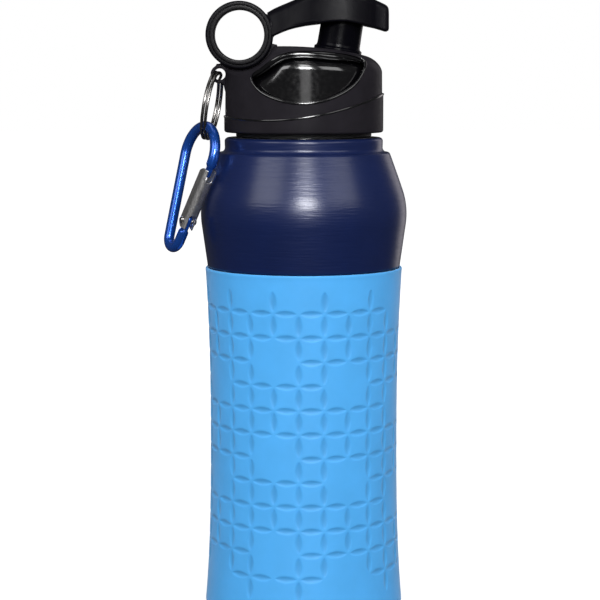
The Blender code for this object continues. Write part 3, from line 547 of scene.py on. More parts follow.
def boot_radius(z):
    above = BOOT_TOP_FLARE * (np.maximum(z - BOOT_WAIST_Z, 0) / (BOOT_TOP_Z - BOOT_WAIST_Z)) ** 2
    below = BOOT_BASE_FLARE * (np.maximum(BOOT_WAIST_Z - z, 0) / BOOT_WAIST_Z) ** 3
    return BOOT_WAIST_R + above + below


def blank_blocks():
    """(first column, first gap) of each plain 2 by 2 block in the pattern."""
    for block in range(BOOT_COLUMNS // 3):
        for gap in range(BLANK_START[block % 4] - 4, ROWS + 1, 4):
            yield (3 * block - 2) % BOOT_COLUMNS, gap


def boot_marks():
    """The lying and standing lenses as (column, row); lying ones stand in the columns' middles
    and standing ones in the rows' middles."""
    lying = {(column, row) for column in range(BOOT_COLUMNS) for row in range(1, ROWS + 1)}
    standing = {(column, gap) for column in range(BOOT_COLUMNS) for gap in range(1, ROWS)}
    standing |= {(column, 0) for column in range(1, BOOT_COLUMNS, 2)}
    standing |= {(column, ROWS) for column in range(0, BOOT_COLUMNS, 2)}
    for column, gap in blank_blocks():
        second = (column + 1) % BOOT_COLUMNS
        lying -= {(column, gap + 1), (second, gap + 1)}
        standing -= {(second, gap), (second, gap + 1)}
    return lying, standing


def lens(across, along, half_length, half_width):
    """Depth share of a pointed groove, 1 in its middle and 0 outside."""
    room = 1 - (along / half_length) ** 2
    share = np.abs(across) / np.maximum(half_width * np.maximum(room, 0) ** 0.8, 1e-6)
    return np.where((room > 0) & (share < 1), (1 - share ** 2) * np.maximum(room, 0) ** 0.6, 0.0)


def spaced(pitch, offsets):
    """Places over one pitch, crowded near both of its ends."""
    near = np.array(offsets)
    return np.concatenate([near, [pitch / 2], pitch - near[:0:-1]])


def make_boot():
    pitch_turn = math.tau / BOOT_COLUMNS
    arc = BOOT_WAIST_R * pitch_turn
    column = spaced(arc, (0, 0.3, 0.6, 0.9, 1.15, 1.35, 1.6, 2.2, 3.0, 3.8)) / arc
    turns = (MARK_TURN + pitch_turn * (np.arange(BOOT_COLUMNS)[:, None] + column)).ravel()
    row = spaced(ROW_PITCH, (0, 0.25, 0.5, 0.75, 1.0, 1.2, 1.45, 2.0, 2.7, 3.5))
    low_row = TOP_ROW_Z - ROW_PITCH * ROWS
    heights = (low_row + ROW_PITCH * np.arange(ROWS + 1)[:, None] + row).ravel()
    heights = heights[(heights > 9) & (heights < BOOT_TOP_Z - 4)]
    heights = np.concatenate([[FOOT_Z, 7.2], heights, [BOOT_TOP_Z - 2.6, BOOT_TOP_Z - 1.4]])

    depth = np.zeros((len(heights), len(turns)))
    lying, standing = boot_marks()
    z = heights[:, None]
    for marks, is_lying in ((lying, True), (standing, False)):
        for place, level in marks:
            turn = MARK_TURN + pitch_turn * (place + (0.5 if is_lying else 0))
            mark_z = TOP_ROW_Z - ROW_PITCH * (level - 1 + (0 if is_lying else 0.5))
            near_z = np.abs(heights - mark_z) < ROW_PITCH / 2 + 0.1
            away = (turns - turn + math.pi) % math.tau - math.pi
            near_turn = np.abs(away) < pitch_turn
            across = away[None, near_turn] * BOOT_WAIST_R
            up = z[near_z] - mark_z
            share = lens(up, across, *LONG_MARK) if is_lying else lens(across, up, *TALL_MARK)
            cell = np.ix_(near_z, near_turn)
            depth[cell] = np.maximum(depth[cell], share)
    wall = boot_radius(heights)[:, None] - MARK_DEPTH * depth

    top_r, base_r = boot_radius(BOOT_TOP_Z), boot_radius(0)
    foot = rounded([(0, 0, 0), (base_r, 0, BOOT_EDGE_R), (boot_radius(FOOT_Z), FOOT_Z, 0)],
                   10)[:-1]
    lip = rounded([(top_r, BOOT_TOP_Z - 1.0, 0), (top_r, BOOT_TOP_Z, 0.45),
                   (top_r - BOOT_WALL, BOOT_TOP_Z, 0.3),
                   (top_r - BOOT_WALL, BOOT_TOP_Z - 1.0, 0)], 5)
    inner = [(boot_radius(level) - BOOT_WALL, level)
             for level in np.linspace(BOOT_TOP_Z - 4, BOOT_EDGE_R + 2, 14)]
    inner += [(base_r - BOOT_WALL - 2.0, BOOT_FLOOR), (0, BOOT_FLOOR)]

    ring = np.ones(len(turns))
    radii = np.array([r * ring for r, _ in foot] + list(wall)
                     + [r * ring for r, _ in lip + inner])
    levels = np.array([*(level for _, level in foot), *heights,
                       *(level for _, level in lip + inner)])[:, None] * ring
    points = np.stack([radii * np.sin(turns), -radii * np.cos(turns), levels], 2)
    shape = points.reshape(-1, 3), grid_faces(*radii.shape, False)
    sleeve = add_piece("boot_sleeve", shape, "bottle", "boot_silicone", "silicone_boot")
    place = np.array([vert.co for vert in sleeve.data.vertices]) / MM
    sunk = boot_radius(place[:, 2]) - np.hypot(place[:, 0], place[:, 1])
    patterned = (place[:, 2] > 8) & (place[:, 2] < BOOT_TOP_Z - 2) & (sunk < BOOT_WALL * 0.8)
    # how deep each point sits in a groove, from 0 to 1; the boot's material paints shade by it
    groove = sleeve.data.attributes.new("groove", "FLOAT", "POINT")
    groove.data.foreach_set("value", np.where(patterned, sunk / MARK_DEPTH, 0).clip(0, 1))


# ---------------- vessel
def make_vessel():
    inset = BOOT_WALL + GAP
    edge = BOOT_EDGE_R - BOOT_WALL
    base_z = BOOT_FLOOR + GAP
    top_r, base_r = boot_radius(BOOT_TOP_Z), boot_radius(0) - inset
    heights = np.linspace(7, BOOT_TOP_Z - 1.5, 24)
    outer = [(0, base_z, 0), (base_r, base_z, edge)]
    outer += [(boot_radius(z) - inset, z, 0) for z in heights]
    outer += [(top_r - inset, BOOT_TOP_Z, 0),
              (top_r - 0.8, BOOT_TOP_Z + 0.7, 0.3),
              (BULGE_R, BULGE_Z, 28),
              (SHOULDER_MID_R, SHOULDER_MID_Z, 25),
              (SHOULDER_TOP_R, SHOULDER_TOP_Z, 1.2),
              (COLLAR_R - 0.2, SHOULDER_TOP_Z + 0.2, 1.7),
              (COLLAR_R, RIM_Z, 1.4)]
    neck_r = COLLAR_R - VESSEL_WALL - 0.25
    inner = [(neck_r, RIM_Z, 0.05),
             (neck_r, SHOULDER_TOP_Z - 0.2, 1.0),
             (SHOULDER_MID_R - VESSEL_WALL, SHOULDER_MID_Z - 0.3, 24),
             (BULGE_R - VESSEL_WALL, BULGE_Z - 0.3, 27)]
    inner += [(boot_radius(z) - inset - VESSEL_WALL, z, 0) for z in heights[::-3]]
    inner += [(base_r - VESSEL_WALL, base_z + VESSEL_WALL, edge - VESSEL_WALL),
              (0, base_z + VESSEL_WALL, 0)]
    add_piece("vessel_skin", lathe(outer + inner, 14, 320), "bottle", "navy_coat",
              "outer_vessel")


def thread(r_root, r_crest, z_start):
    """One start of a right-hand thread whose ends sink back towards its root."""
    rise, dz = np.transpose([(0, -0.75), (0.75, -0.5), (1, -0.3), (1, 0.3), (0.75, 0.5),
                             (0, 0.75)])
    per_turn = 96
    stations = round(THREAD_TURNS * per_turn)
    sections = []
    for station in range(stations + 1):
        fade = min(1.0, station / 8, (stations - station) / 8)
        fade = 0.15 + 0.85 * fade * fade * (3 - 2 * fade)
        turned = station / per_turn
        sections.append(ring_points(r_root + (r_crest - r_root) * fade * rise,
                                    math.tau * turned, z_start + THREAD_PITCH * turned + dz))
    return sweep(sections)


def make_liner():
    wall, base_z = LINER_WALL, LINER_BASE_Z
    waist_r = BOOT_WAIST_R - BOOT_WALL - GAP - LINER_SPACE
    bulge_r = BULGE_R - LINER_SPACE
    neck_z = SHOULDER_TOP_Z - 9
    lip_r = COLLAR_R - VESSEL_WALL - GAP
    outer = [(0, base_z, 0), (waist_r, base_z, 6), (waist_r, BOOT_WAIST_Z, 0),
             (bulge_r, BULGE_Z - 2, 10), (NECK_R + wall, neck_z, 3),
             (NECK_R + wall, RIM_Z - wall, 0.3), (lip_r, RIM_Z - wall, 0), (lip_r, RIM_Z, 0.2)]
    inner = [(NECK_R, RIM_Z, 0.5), (NECK_R, neck_z - 0.5, 3),
             (bulge_r - wall, BULGE_Z - 2.4, 9), (waist_r - wall, BOOT_WAIST_Z, 0),
             (waist_r - wall, base_z + wall, 5.2), (0, base_z + wall, 0)]
    add_piece("vessel_liner", lathe(outer + inner, segments=160), "bottle", "bare_steel",
              "steel_liner")
    add_piece("neck_thread", thread(NECK_R + 0.2, NECK_R - 1.0, 170.2), "bottle", "bare_steel")


# ---------------- cap
SKIN_R = 29.3  # the skin's radius where the band meets it
WINDOW_BEHIND_R = 23.2  # the windows cut nothing nearer to the axis
WINDOW_BEHIND_Y = 12.0  # or nearer to the XZ plane
WINDOW_SHOULDER = 7  # the corner of the window that ends its bead
HOOD_FACE = 0.45  # depth of the hood's face and back below the skin
HOOD_BACK = 2.4
HOOD_HALF_X = 22.5
WINDOW = ((-18.9, 201.2), (-15.0, 196.0), (-7.0, 192.9), (2.0, 192.3), (10.6, 194.3),
          (18.0, 198.7), (21.8, 204.8), (20.9, 207.6), (16.4, 209.2), (10.9, 210.0),
          (4.0, 210.5), (-2.5, 210.4), (-7.2, 209.6), (-11.1, 207.7), (-15.2, 204.6))
HOOD_EDGE = ((-21.0, 198.0), (-17.7, 200.9), (-14.4, 203.1), (-10.8, 205.6), (-7.2, 207.6),
             (-3.6, 208.3), (0.8, 208.5), (5.8, 208.1), (10.9, 207.6), (16.4, 207.4),
             (21.2, 205.9), (24.0, 203.0))


def lean_share(x):
    """How much the crown's falling top squeezes heights above CROWN_LEAN_Z at this x."""
    fall = CROWN_FALL * np.maximum(x - CROWN_FALL_X, 0) ** 2
    return 1 - fall / (CAP_TOP_Z - CROWN_LEAN_Z)


def upright_z(x, z):
    """Height before the crown was leaned."""
    return np.where(z > CROWN_LEAN_Z, CROWN_LEAN_Z + (z - CROWN_LEAN_Z) / lean_share(x), z)


def skin_radius(z):
    """The skin's draft: its radius at a height, below the crown."""
    return SKIN_R - 0.2 * np.clip((z - 190) / 20, 0, 1)


def dome_field(x, y, z, radius, top_z, crown_r):
    """Distance to an upright round dome that has no floor, with its crown leaned."""
    side = np.sqrt(x * x + y * y) - (radius - crown_r)
    return corner_field(side, upright_z(x, z) - (top_z - crown_r)) - crown_r


def skin_field(x, y, z):
    """The cap's outside."""
    return dome_field(x, y, z, skin_radius(z), CAP_TOP_Z, CAP_CROWN_R)


def arc_outline(radius, start_deg, end_deg, steps):
    turn = np.radians(np.linspace(start_deg, end_deg, steps))
    return np.stack([PIVOT[0] + radius * np.cos(turn), PIVOT[2] + radius * np.sin(turn)], 1)


def plate_field(x, y, z, outline, half_width, edge=0.4):
    """Distance to a plate cut from a closed XZ outline, with rounded edges."""
    return smooth_max(outline_field(x, z, outline), np.abs(y) - half_width, edge)


def shell_field(x, y, z):
    """The cap's shell: skin, finger scoop, windows, spout hole, fixed eye and eyelet."""
    skin = skin_field(x, y, z)
    scoop = from_axis(x, z, SCOOP) - SCOOP_R
    inside = smooth_max(skin + CAP_WALL, 1.3 - scoop, 0.6)
    body = smooth_max(skin, CAP_BOTTOM_Z + 0.4 - z, 0.6)
    body = cut(body, inside, 0.3)
    body = cut(body, scoop, 1.6)
    behind = np.maximum(WINDOW_BEHIND_R - np.sqrt(x * x + y * y), WINDOW_BEHIND_Y - np.abs(y))
    opening = smooth_max(outline_field(x, z, window_outline), behind, 0.3)
    body = cut(body, opening, 0.5)
    along, across = spout_place(x, y, z)
    body = cut(body, np.maximum(across - SPOUT_POCKET_R, -8 - along), 0.5)
    eye = disc_field(x, y, z, PIVOT, EYE_R, EYE_HALF_THICK, 0.35)
    web = plate_field(x, y, z, web_outline, EYE_HALF_THICK - 0.05)
    body = smooth_min(body, smooth_min(eye, web, 0.6), 1.2)
    ear = disc_field(x, y, z, EYELET, EYELET_R, 1.5, 0.45)
    gusset = plate_field(x, y, z, gusset_outline, 1.3, 0.6)
    body = smooth_min(body, smooth_min(ear, gusset, 1.2), 1.0)
    body = cut(body, disc_field(x, y, z, EYELET, EYELET_HOLE_R, 5.0, 0.1), 0.6)
    # the pivot's hole, only as wide as the eye and its web
    pivot_hole = EYE_HOLE_R - from_axis(x, z, PIVOT) - 20 * (np.abs(y) > 6.5)
    return smooth_max(body, pivot_hole, 0.3)


window_outline = through(WINDOW, 6, closed=True)
hood_low = curve_through([x for x, _ in HOOD_EDGE], [z for _, z in HOOD_EDGE])
web_outline = np.concatenate([arc_outline(WEB_R, -123.0, -14.5, 22),
                              arc_outline(EYE_R - 1.0, -14.5, -123.0, 18)])
gusset_outline = np.array([(-32.4, 206.0), (-29.3, 196.5), (-28.6, 196.5), (-28.4, 205.2),
                           (-29.5, 205.6)])


def skin_y(x, z, inset=0.0):
    """How far the skin is from the XZ plane at (x, z)."""
    tall = upright_z(x, z)
    top = CAP_TOP_Z - CAP_CROWN_R
    radius = skin_radius(z) - inset
    crown_r = CAP_CROWN_R - inset
    rise = np.clip(tall - top, 0, crown_r)
    reach = radius - crown_r + np.sqrt(crown_r ** 2 - rise ** 2)
    reach = np.where(tall > top, reach, radius)
    return np.sqrt(np.maximum(reach ** 2 - x ** 2, 0))


def field_normal(field, point):
    slope = [field(*(point + shift)) - field(*(point - shift)) for shift in np.eye(3) * REACH]
    return np.array(slope, float).ravel() / np.linalg.norm(slope)


def bead(line, field, half_width, height, closed=False):
    """A low bead that follows a line of points on a field's surface; open ends taper."""
    profile = ((1.0, -0.8), (0.98, 0.1), (0.8, 0.62), (0.45, 0.9), (0, 1.0),
               (-0.45, 0.9), (-0.8, 0.62), (-0.98, 0.1), (-1.0, -0.8))
    sections = []
    count = len(line)
    for index, point in enumerate(line):
        after = line[(index + 1) % count] if closed else line[min(index + 1, count - 1)]
        before = line[index - 1] if closed else line[max(index - 1, 0)]
        run = (after - before) / np.linalg.norm(after - before)
        normal = field_normal(field, point)
        side = np.cross(run, normal)
        ends = 1.0 if closed else min(1.0, (index + 2) / 12, (count + 1 - index) / 12)
        sections.append([point + (side * half_width * u + normal * height * v) * ends
                         for u, v in profile])
    return sweep(sections, closed)


def step_z(x):
    """Height of the wave line where the cap's lower band ends."""
    share = x / SKIN_R
    return 187.1 + 4.13 * share + 4.05 * share ** 2


def make_band():
    """Lower band of the cap, a little proud of the skin up to the wave line."""
    turns = np.arange(384) * math.tau / 384
    wave = step_z(SKIN_R * np.cos(turns))
    inner_r = 28.6
    low = [(inner_r, CAP_BOTTOM_Z + 0.5), (inner_r + 0.1, CAP_BOTTOM_Z + 0.1)]
    low += rounded([(inner_r + 0.1, CAP_BOTTOM_Z, 0), (CAP_BAND_R, CAP_BOTTOM_Z, 0.9),
                    (CAP_BAND_R, CAP_BOTTOM_Z + 2, 0)], 8)
    wall_z = low[-1][1]
    rows = low + [(CAP_BAND_R, wall_z + (wave - 0.5 - wall_z) * share)
                  for share in (0.3, 0.6, 0.9)]
    rows += [(CAP_BAND_R - back, wave - down)
             for back, down in ((0.0, 0.42), (0.02, 0.3), (0.08, 0.16), (0.17, 0.06),
                                (0.3, 0.0), (0.7, 0.0))]
    rows.append((inner_r, wave - 0.8))
    points = np.concatenate([ring_points(r, turns, z) for r, z in rows])
    shape = points, grid_faces(len(rows), len(turns), True)
    add_piece("cap_band", shape, "cap", "shell_plastic")


def window_line(side, grow):
    """The window's edge on the skin, grown outwards in its own plane, from the window's left
    tip round its foot to its right shoulder."""
    steps = 14
    outline = through(WINDOW, steps, closed=True)
    ahead = np.roll(outline, -1, 0) - np.roll(outline, 1, 0)
    out = np.stack([ahead[:, 1], -ahead[:, 0]], 1)
    out /= np.linalg.norm(out, axis=1, keepdims=True)
    outline = (outline + out * grow)[:WINDOW_SHOULDER * steps + 8]
    return np.stack([outline[:, 0], side * skin_y(*outline.T), outline[:, 1]], 1)


def make_shell():
    shape = surface_net(shell_field, (-35.5, -30.2, 180.4), (30.2, 30.2, 229.6), 0.34)
    add_piece("cap_skin", shape, "cap", "shell_plastic", "cap_shell")
    make_band()
    add_pair("window_bead", lambda side: bead(window_line(side, 0.45), skin_field, 0.5, 0.4),
             "cap", "core_plastic")
    turns = np.arange(300) * math.tau / 300
    line = ring_points(CAP_BAND_R, turns, step_z(SKIN_R * np.cos(turns)) - 0.45)
    add_piece("wave_bead", bead(line, lambda x, y, z: math.hypot(x, y), 0.4, 0.22, True), "cap",
              "core_plastic")


def hood_field(x, y, z):
    """Glossy wall under the crown, down to the arch that the windows show."""
    skin = skin_field(x, y, z)
    wall = smooth_max(skin + HOOD_FACE, hood_low(x) - z, 2.6)
    wall = cut(wall, skin + HOOD_BACK, 0.5)
    wall = smooth_max(wall, 0.5 - (from_axis(x, z, SCOOP) - SCOOP_R), 0.4)
    ends = np.maximum(WINDOW_BEHIND_Y - np.abs(y), np.abs(x) - HOOD_HALF_X)
    return smooth_max(wall, ends, 0.3)


def core_field(x, y, z):
    """Glossy core with its ceiling, spout pocket and drain, from its flange up."""
    scoop = from_axis(x, z, SCOOP)
    lip = smooth_max(dome_field(x, y, z, CORE_R, CORE_TOP_Z, 4.5), LIP_SCOOP_R - scoop, 6.0)
    rise = dome_field(x, y, z, CORE_RISE_R, CAP_TOP_Z - CAP_WALL - GAP, 1.0)
    rise = smooth_max(rise, SCOOP_R + 1.6 - scoop, 0.3)
    body = np.minimum(lip, rise)
    body = smooth_max(body, FLANGE_Z - z, 0.4)
    body = cut(body, dome_field(x, y, z, CORE_HOLLOW_R, CORE_HOLLOW_Z, 2.0), 0.3)
    along, across = spout_place(x, y, z)
    for radius, depth in ((SPOUT_POCKET_R, -1.5), (SPOUT_R + GAP, -7.4), (SPOUT_BORE_R, -22)):
        body = cut(body, np.maximum(across - radius, depth - along), 0.2)
    return body


def make_core():
    shape = surface_net(core_field, (-28, -28, 180.8), (28, 28, 211.6), 0.4)
    add_piece("core_dome", shape, "cap", "core_plastic", "cap_core")
    corners = [(PLUG_BORE_R, PLUG_BOTTOM_Z, 0.4), (PLUG_R, PLUG_BOTTOM_Z, 0.4),
               (PLUG_R, FLANGE_Z, 0), (FLANGE_R, FLANGE_Z + 0.05, 0),
               (FLANGE_R, FLANGE_Z + 2.5, 0), (25.1, FLANGE_Z + 2.5, 0),
               (PLUG_BORE_R, FLANGE_Z + 1.5, 0.5), (PLUG_BORE_R, PLUG_BOTTOM_Z + 2, 0)]
    add_piece("core_plug", lathe(corners, 16), "cap", "core_plastic")
    add_piece("plug_thread", thread(PLUG_R - 0.2, PLUG_R + 1.0, 168.7), "cap", "core_plastic")
    shape = surface_net(hood_field, (-23.2, -29.3, 197.0), (23.2, 29.3, 212.6), 0.3)
    add_piece("window_hood", shape, "cap", "core_plastic")
    x = np.linspace(-17.4, 20.6, 80)
    z = hood_low(x)
    y = skin_y(x, z, 1.0)
    add_pair("hood_bead", lambda side: bead(np.stack([x, side * y, z], 1), skin_field, 0.34, 0.22),
             "cap", "core_plastic")


def make_seals():
    low, high, in_r, out_r = RIM_Z + GAP, CAP_BOTTOM_Z + 0.3, 23.6, 25.3
    corners = [(24.4, low, 0), (out_r, low, 0.5), (out_r, high, 0.5), (in_r, high, 0.3),
               (in_r, low, 0.3), (24.4, low, 0)]
    add_piece("rim_gasket", lathe(corners, 5), "seal", "seal_silicone", "cap_seal")
    foot, top, bore_r = -7.1, -5.8, SPOUT_BORE_R + GAP
    corners = [(7, foot, 0), (SPOUT_R, foot, 0.3), (SPOUT_R, top, 0.3), (bore_r, top, 0.3),
               (bore_r, foot, 0.3), (7, foot, 0)]
    add_piece("spout_gasket", on_spout(lathe(corners, 4, 96)), "cap", "seal_silicone",
              "spout_seal")


def make_spout():
    wall_r = SPOUT_R - 0.12
    corners = [(SPOUT_BORE_R, -2, 0), (SPOUT_BORE_R, -5.5, 0.3), (SPOUT_R, -5.5, 0.3),
               (SPOUT_R, -0.9, 0), (8.9, -0.9, 0.2), (8.9, 1.0, 0.45), (8.15, 1.5, 0.3),
               (SPOUT_R - 0.02, 2.4, 0.6), (wall_r, 9, 0), (wall_r, SPOUT_TOP_S, 0.9),
               (SPOUT_BORE_R, SPOUT_TOP_S, 0.7), (SPOUT_BORE_R, 4, 0)]
    add_piece("spout_tube", on_spout(lathe(corners, segments=160)), "cap", "spout_plastic",
              "spout")


# ---------------- lever
# x, underside z, top z and half width, from the pivot ring to the thumb tab
LEVER = ((-14.5, 214.6, 224.4, 4.45), (-10.8, 216.5, 226.5, 5.1), (-5.5, 218.7, 228.7, 7.2),
         (0.0, 220.0, 230.8, 8.9), (5.0, 220.7, 232.2, 10.2), (10.6, 221.3, 232.8, 10.9),
         (16.0, 221.3, 232.4, 11.0), (21.0, 220.4, 231.4, 10.1), (24.6, 219.6, 230.2, 8.2),
         (27.0, 219.0, 229.3, 6.3), (31.5, 217.6, 227.2, 5.6))
lever_low, lever_high, lever_half = (curve_through([row[0] for row in LEVER],
                                                   [row[column] for row in LEVER])
                                     for column in (1, 2, 3))


def lever_body_field(x, y, z):
    """Arm, head and thumb tab, before the pivot's cuts."""
    # the sides lean in towards the top, more so near the ring
    draft = (0.05 + 0.25 * np.clip((3 - x) / 9, 0, 1)) * (z - lever_low(x) - 3.0)
    body = smooth_max(np.abs(y) - lever_half(x) + draft, z - lever_high(x), 2.6)
    body = smooth_max(body, lever_low(x) - z, 0.9)
    body = smooth_max(body, x - 31.5, 1.6)
    return smooth_max(body, -14.9 - x, 0.5)


def lever_field(x, y, z):
    """The lever: arm and pivot ring, forked round the fixed eye and hollow over the spout."""
    ring = disc_field(x, y, z, PIVOT, RING_R - 0.2, RING_HALF_THICK - 0.3, 0.5)
    body = smooth_min(lever_body_field(x, y, z), ring, 1.1)
    rho = from_axis(x, z, PIVOT)
    fork = np.maximum(rho - RING_R - 0.45, np.abs(y) - EYE_HALF_THICK - GAP)
    body = cut(body, fork, 0.3)
    body = cut(body, np.maximum(rho - BUSH_SEAT_R, BUSH_SEAT_Y - np.abs(y)), 0.25)
    body = smooth_max(body, EYE_HOLE_R - rho, 0.25)
    along, across = spout_place(x, y, z)
    room = np.maximum(across - LEVER_HOLLOW_R, along - SPOUT_TOP_S - PLUG_HEAD)
    return cut(body, room, 0.6)


def make_lever():
    shape = surface_net(lever_field, (-37.0, -11.6, 203.6), (32.1, 11.6, 233.3), 0.27)
    add_piece("lever_arm", shape, "lever", "lever_plastic", "flip_lever")
    x = np.linspace(-9.5, 6.0, 60)
    y, z = lever_half(x) + 0.25, lever_low(x) + 1.15
    add_pair("lever_rim", lambda side: bead(np.stack([x, side * y, z], 1), lever_body_field,
                                            0.42, 0.22), "lever", "lever_plastic")
    inner_r, back = 11.25, RING_HALF_THICK - 1.2
    corners = [(inner_r, back, 0), (12.5, back, 0.2), (RING_R, RING_HALF_THICK, 0.75),
               (inner_r, RING_HALF_THICK, 0.3)]
    ring = lathe(corners)
    add_pair("ring_face", lambda side: on_pivot(ring, side), "lever", "lever_plastic")
    top = SPOUT_TOP_S + PLUG_HEAD - GAP
    base = SPOUT_TOP_S + GAP
    corners = [(0, base - 4, 0), (3.9, base - 4, 1.0), (4.7, base, 0.3), (8.2, base, 0.3),
               (8.2, top, 0.3), (2.5, top, 0.3), (2.5, top + 2.2, 0.6), (0, top + 2.2, 0)]
    add_piece("mouth_plug", on_spout(lathe(corners, 6, 96)), "lever",
              "plug_silicone", "spout_plug")


def make_bushes():
    inner, outer = GAP / 2, RING_HALF_THICK + GAP
    shank_r, flange_r = 9.75, 11.0
    corners = [(9.4, inner, 0), (shank_r, inner, 0.1), (shank_r, outer - 0.7, 0.1),
               (flange_r, outer - 0.7, 0.1), (flange_r, outer, 0.4), (RING_HOLE_R, outer, 0.5),
               (RING_HOLE_R, inner, 0.1)]
    bush = lathe(corners, 6, 192)
    add_pair("bush", lambda side: on_pivot(bush, side), "cap", "bush_plastic", "pivot_bush")


# ---------------- split ring
KEY_RING_CENTRE = np.array([-34.1, -5.0, 190.7])
KEY_RING_R = 12.4
KEY_WIRE_R = 0.55
KEY_TURN_GAP = 1.3
KEY_RING_TILT = math.radians(10.0)
KEY_RING_YAW = math.radians(8.5)
JOG_HALF = math.radians(14)  # half the turn over which the wire changes sides
JOG_AT = math.radians(34)


def make_split_ring():
    """Two turns of flattened wire joined by one short jog, with cut ends beside the jog."""
    down = np.array([-math.sin(KEY_RING_TILT), 0, -math.cos(KEY_RING_TILT)])
    level = np.array([0.0, 1.0, 0.0])
    flat_normal = np.cross(level, down)
    across = level * math.cos(KEY_RING_YAW) - flat_normal * math.sin(KEY_RING_YAW)
    normal = np.cross(across, down)
    sections = []
    for run in np.linspace(JOG_HALF, 2 * math.tau - JOG_HALF, 401):
        passed = min(max((run - math.tau + JOG_HALF) / (2 * JOG_HALF), 0.0), 1.0)
        side = (passed * passed * (3 - 2 * passed) - 0.5) * KEY_TURN_GAP
        outward = across * math.sin(JOG_AT + run) - down * math.cos(JOG_AT + run)
        middle = KEY_RING_CENTRE + outward * KEY_RING_R + normal * side
        # the turns of the wire are nearly flat where they face each other
        sections.append(squared_loop(middle, outward * KEY_WIRE_R, normal * KEY_WIRE_R * 1.04,
                                     0.75, 16))
    add_piece("ring_wire", sweep(sections), "key_ring", "nickel_wire", "split_ring")


# ---------------- carabiner
ROD_R = 1.95
TOP_BOW_R = 10.5
FOOT_BOW_R = 4.3
BOW_SPAN = 31.3
CARABINER_TILT = math.radians(11.1)
CARABINER_TURN = math.radians(57.0)
CARABINER_SWAY = math.radians(8.0)
HANG = np.array([-36.6, -5.2, 183.0])
GATE_HALF_W = 2.5
GATE_SHEET = 0.7
GATE_HALF_DEPTH = 2.1
RIVET_R = 0.9
GATE_TIP = 1.6  # counted down the gate's line from the top bow
NOSE_END = 4.4
TANG_BACK = 8.3  # counted back from the end of the gate's line
TANG_END = 10.4
GATE_TAIL = 5.6
SLOT_HALF_W = 1.35


class CarabinerPlane:
    """The carabiner's own plane: 'along' runs down its spine and 'across' from spine to gate."""

    def __init__(self):
        hanging = np.array([-math.sin(CARABINER_TILT), -math.tan(CARABINER_SWAY),
                            -math.cos(CARABINER_TILT)])
        self.along = hanging / np.linalg.norm(hanging)
        level = np.array([math.cos(CARABINER_TURN), -math.sin(CARABINER_TURN), 0])
        across = level - self.along * level.dot(self.along)
        self.across = across / np.linalg.norm(across)
        self.normal = np.cross(self.along, self.across)
        self.origin = HANG + self.along * TOP_BOW_R - self.across * TOP_BOW_R
        drop = TOP_BOW_R - FOOT_BOW_R
        self.slant = math.asin(drop / math.hypot(BOW_SPAN, drop)) + math.atan2(drop, BOW_SPAN)
        self.gate_top = (TOP_BOW_R * math.sin(self.slant), TOP_BOW_R * (1 + math.cos(self.slant)))
        self.gate_down = self.along * math.cos(self.slant) - self.across * math.sin(self.slant)
        self.gate_out = self.along * math.sin(self.slant) + self.across * math.cos(self.slant)
        foot = (BOW_SPAN + FOOT_BOW_R * math.sin(self.slant),
                FOOT_BOW_R * (1 + math.cos(self.slant)))
        self.run = math.hypot(foot[0] - self.gate_top[0], foot[1] - self.gate_top[1])

    def point(self, along, across, lift=0.0):
        return self.origin + self.along * along + self.across * across + self.normal * lift

    def on_gate(self, run, out=0.0, lift=0.0):
        return (self.point(*self.gate_top) + self.gate_down * run + self.gate_out * out
                + self.normal * lift)


def frame_stations(plane):
    """(middle, outward, half width in plane, half thickness, squareness) along the rod."""
    slant = math.degrees(plane.slant)
    stations = []

    def tongue(start, turn, rows):
        """The nose or the tang: its sections on the gate's line."""
        for along, width, thick, square in rows:
            stations.append((plane.on_gate(start + turn * along), plane.gate_out, width, thick,
                             square))

    def bow(middle, radius, first, last, steps):
        for angle in np.radians(np.linspace(first, last, steps)):
            outward = plane.across * math.cos(angle) + plane.along * math.sin(angle)
            stations.append((middle + outward * radius, outward, ROD_R, ROD_R, 0.0))

    tongue(0, 1, ((4.4, 1.25, 0.85, 0.4), (4.2, 1.5, 0.93, 0.5), (3.7, 1.65, 0.95, 0.5),
                  (2.6, 1.7, 0.95, 0.5), (1.6, 1.7, 0.95, 0.45), (1.15, 1.7, 1.0, 0.4),
                  (0.8, 1.75, 1.25, 0.25), (0.45, 1.85, 1.6, 0.1), (0.1, 1.92, 1.85, 0.0),
                  (-0.3, ROD_R, ROD_R, 0.0)))
    bow(plane.point(0, TOP_BOW_R), TOP_BOW_R, slant - 4, -180, 60)
    for share in np.linspace(0.05, 0.95, 18):
        stations.append((plane.point(BOW_SPAN * share, 0), -plane.across, ROD_R, ROD_R, 0.0))
    bow(plane.point(BOW_SPAN, FOOT_BOW_R), FOOT_BOW_R, 180, slant, 34)
    tongue(plane.run, -1, ((3.7, ROD_R, ROD_R, 0.0), (4.1, 1.9, 1.8, 0.05),
                           (4.5, 1.85, 1.4, 0.2), (4.8, 1.8, 1.05, 0.4), (5.1, 1.75, 0.95, 0.5),
                           (6.5, 1.75, 0.95, 0.5), (8.3, 1.75, 0.95, 0.5),
                           (9.4, 1.6, 0.95, 0.5), (10.0, 1.2, 0.93, 0.4),
                           (10.35, 0.7, 0.85, 0.3)))
    return stations


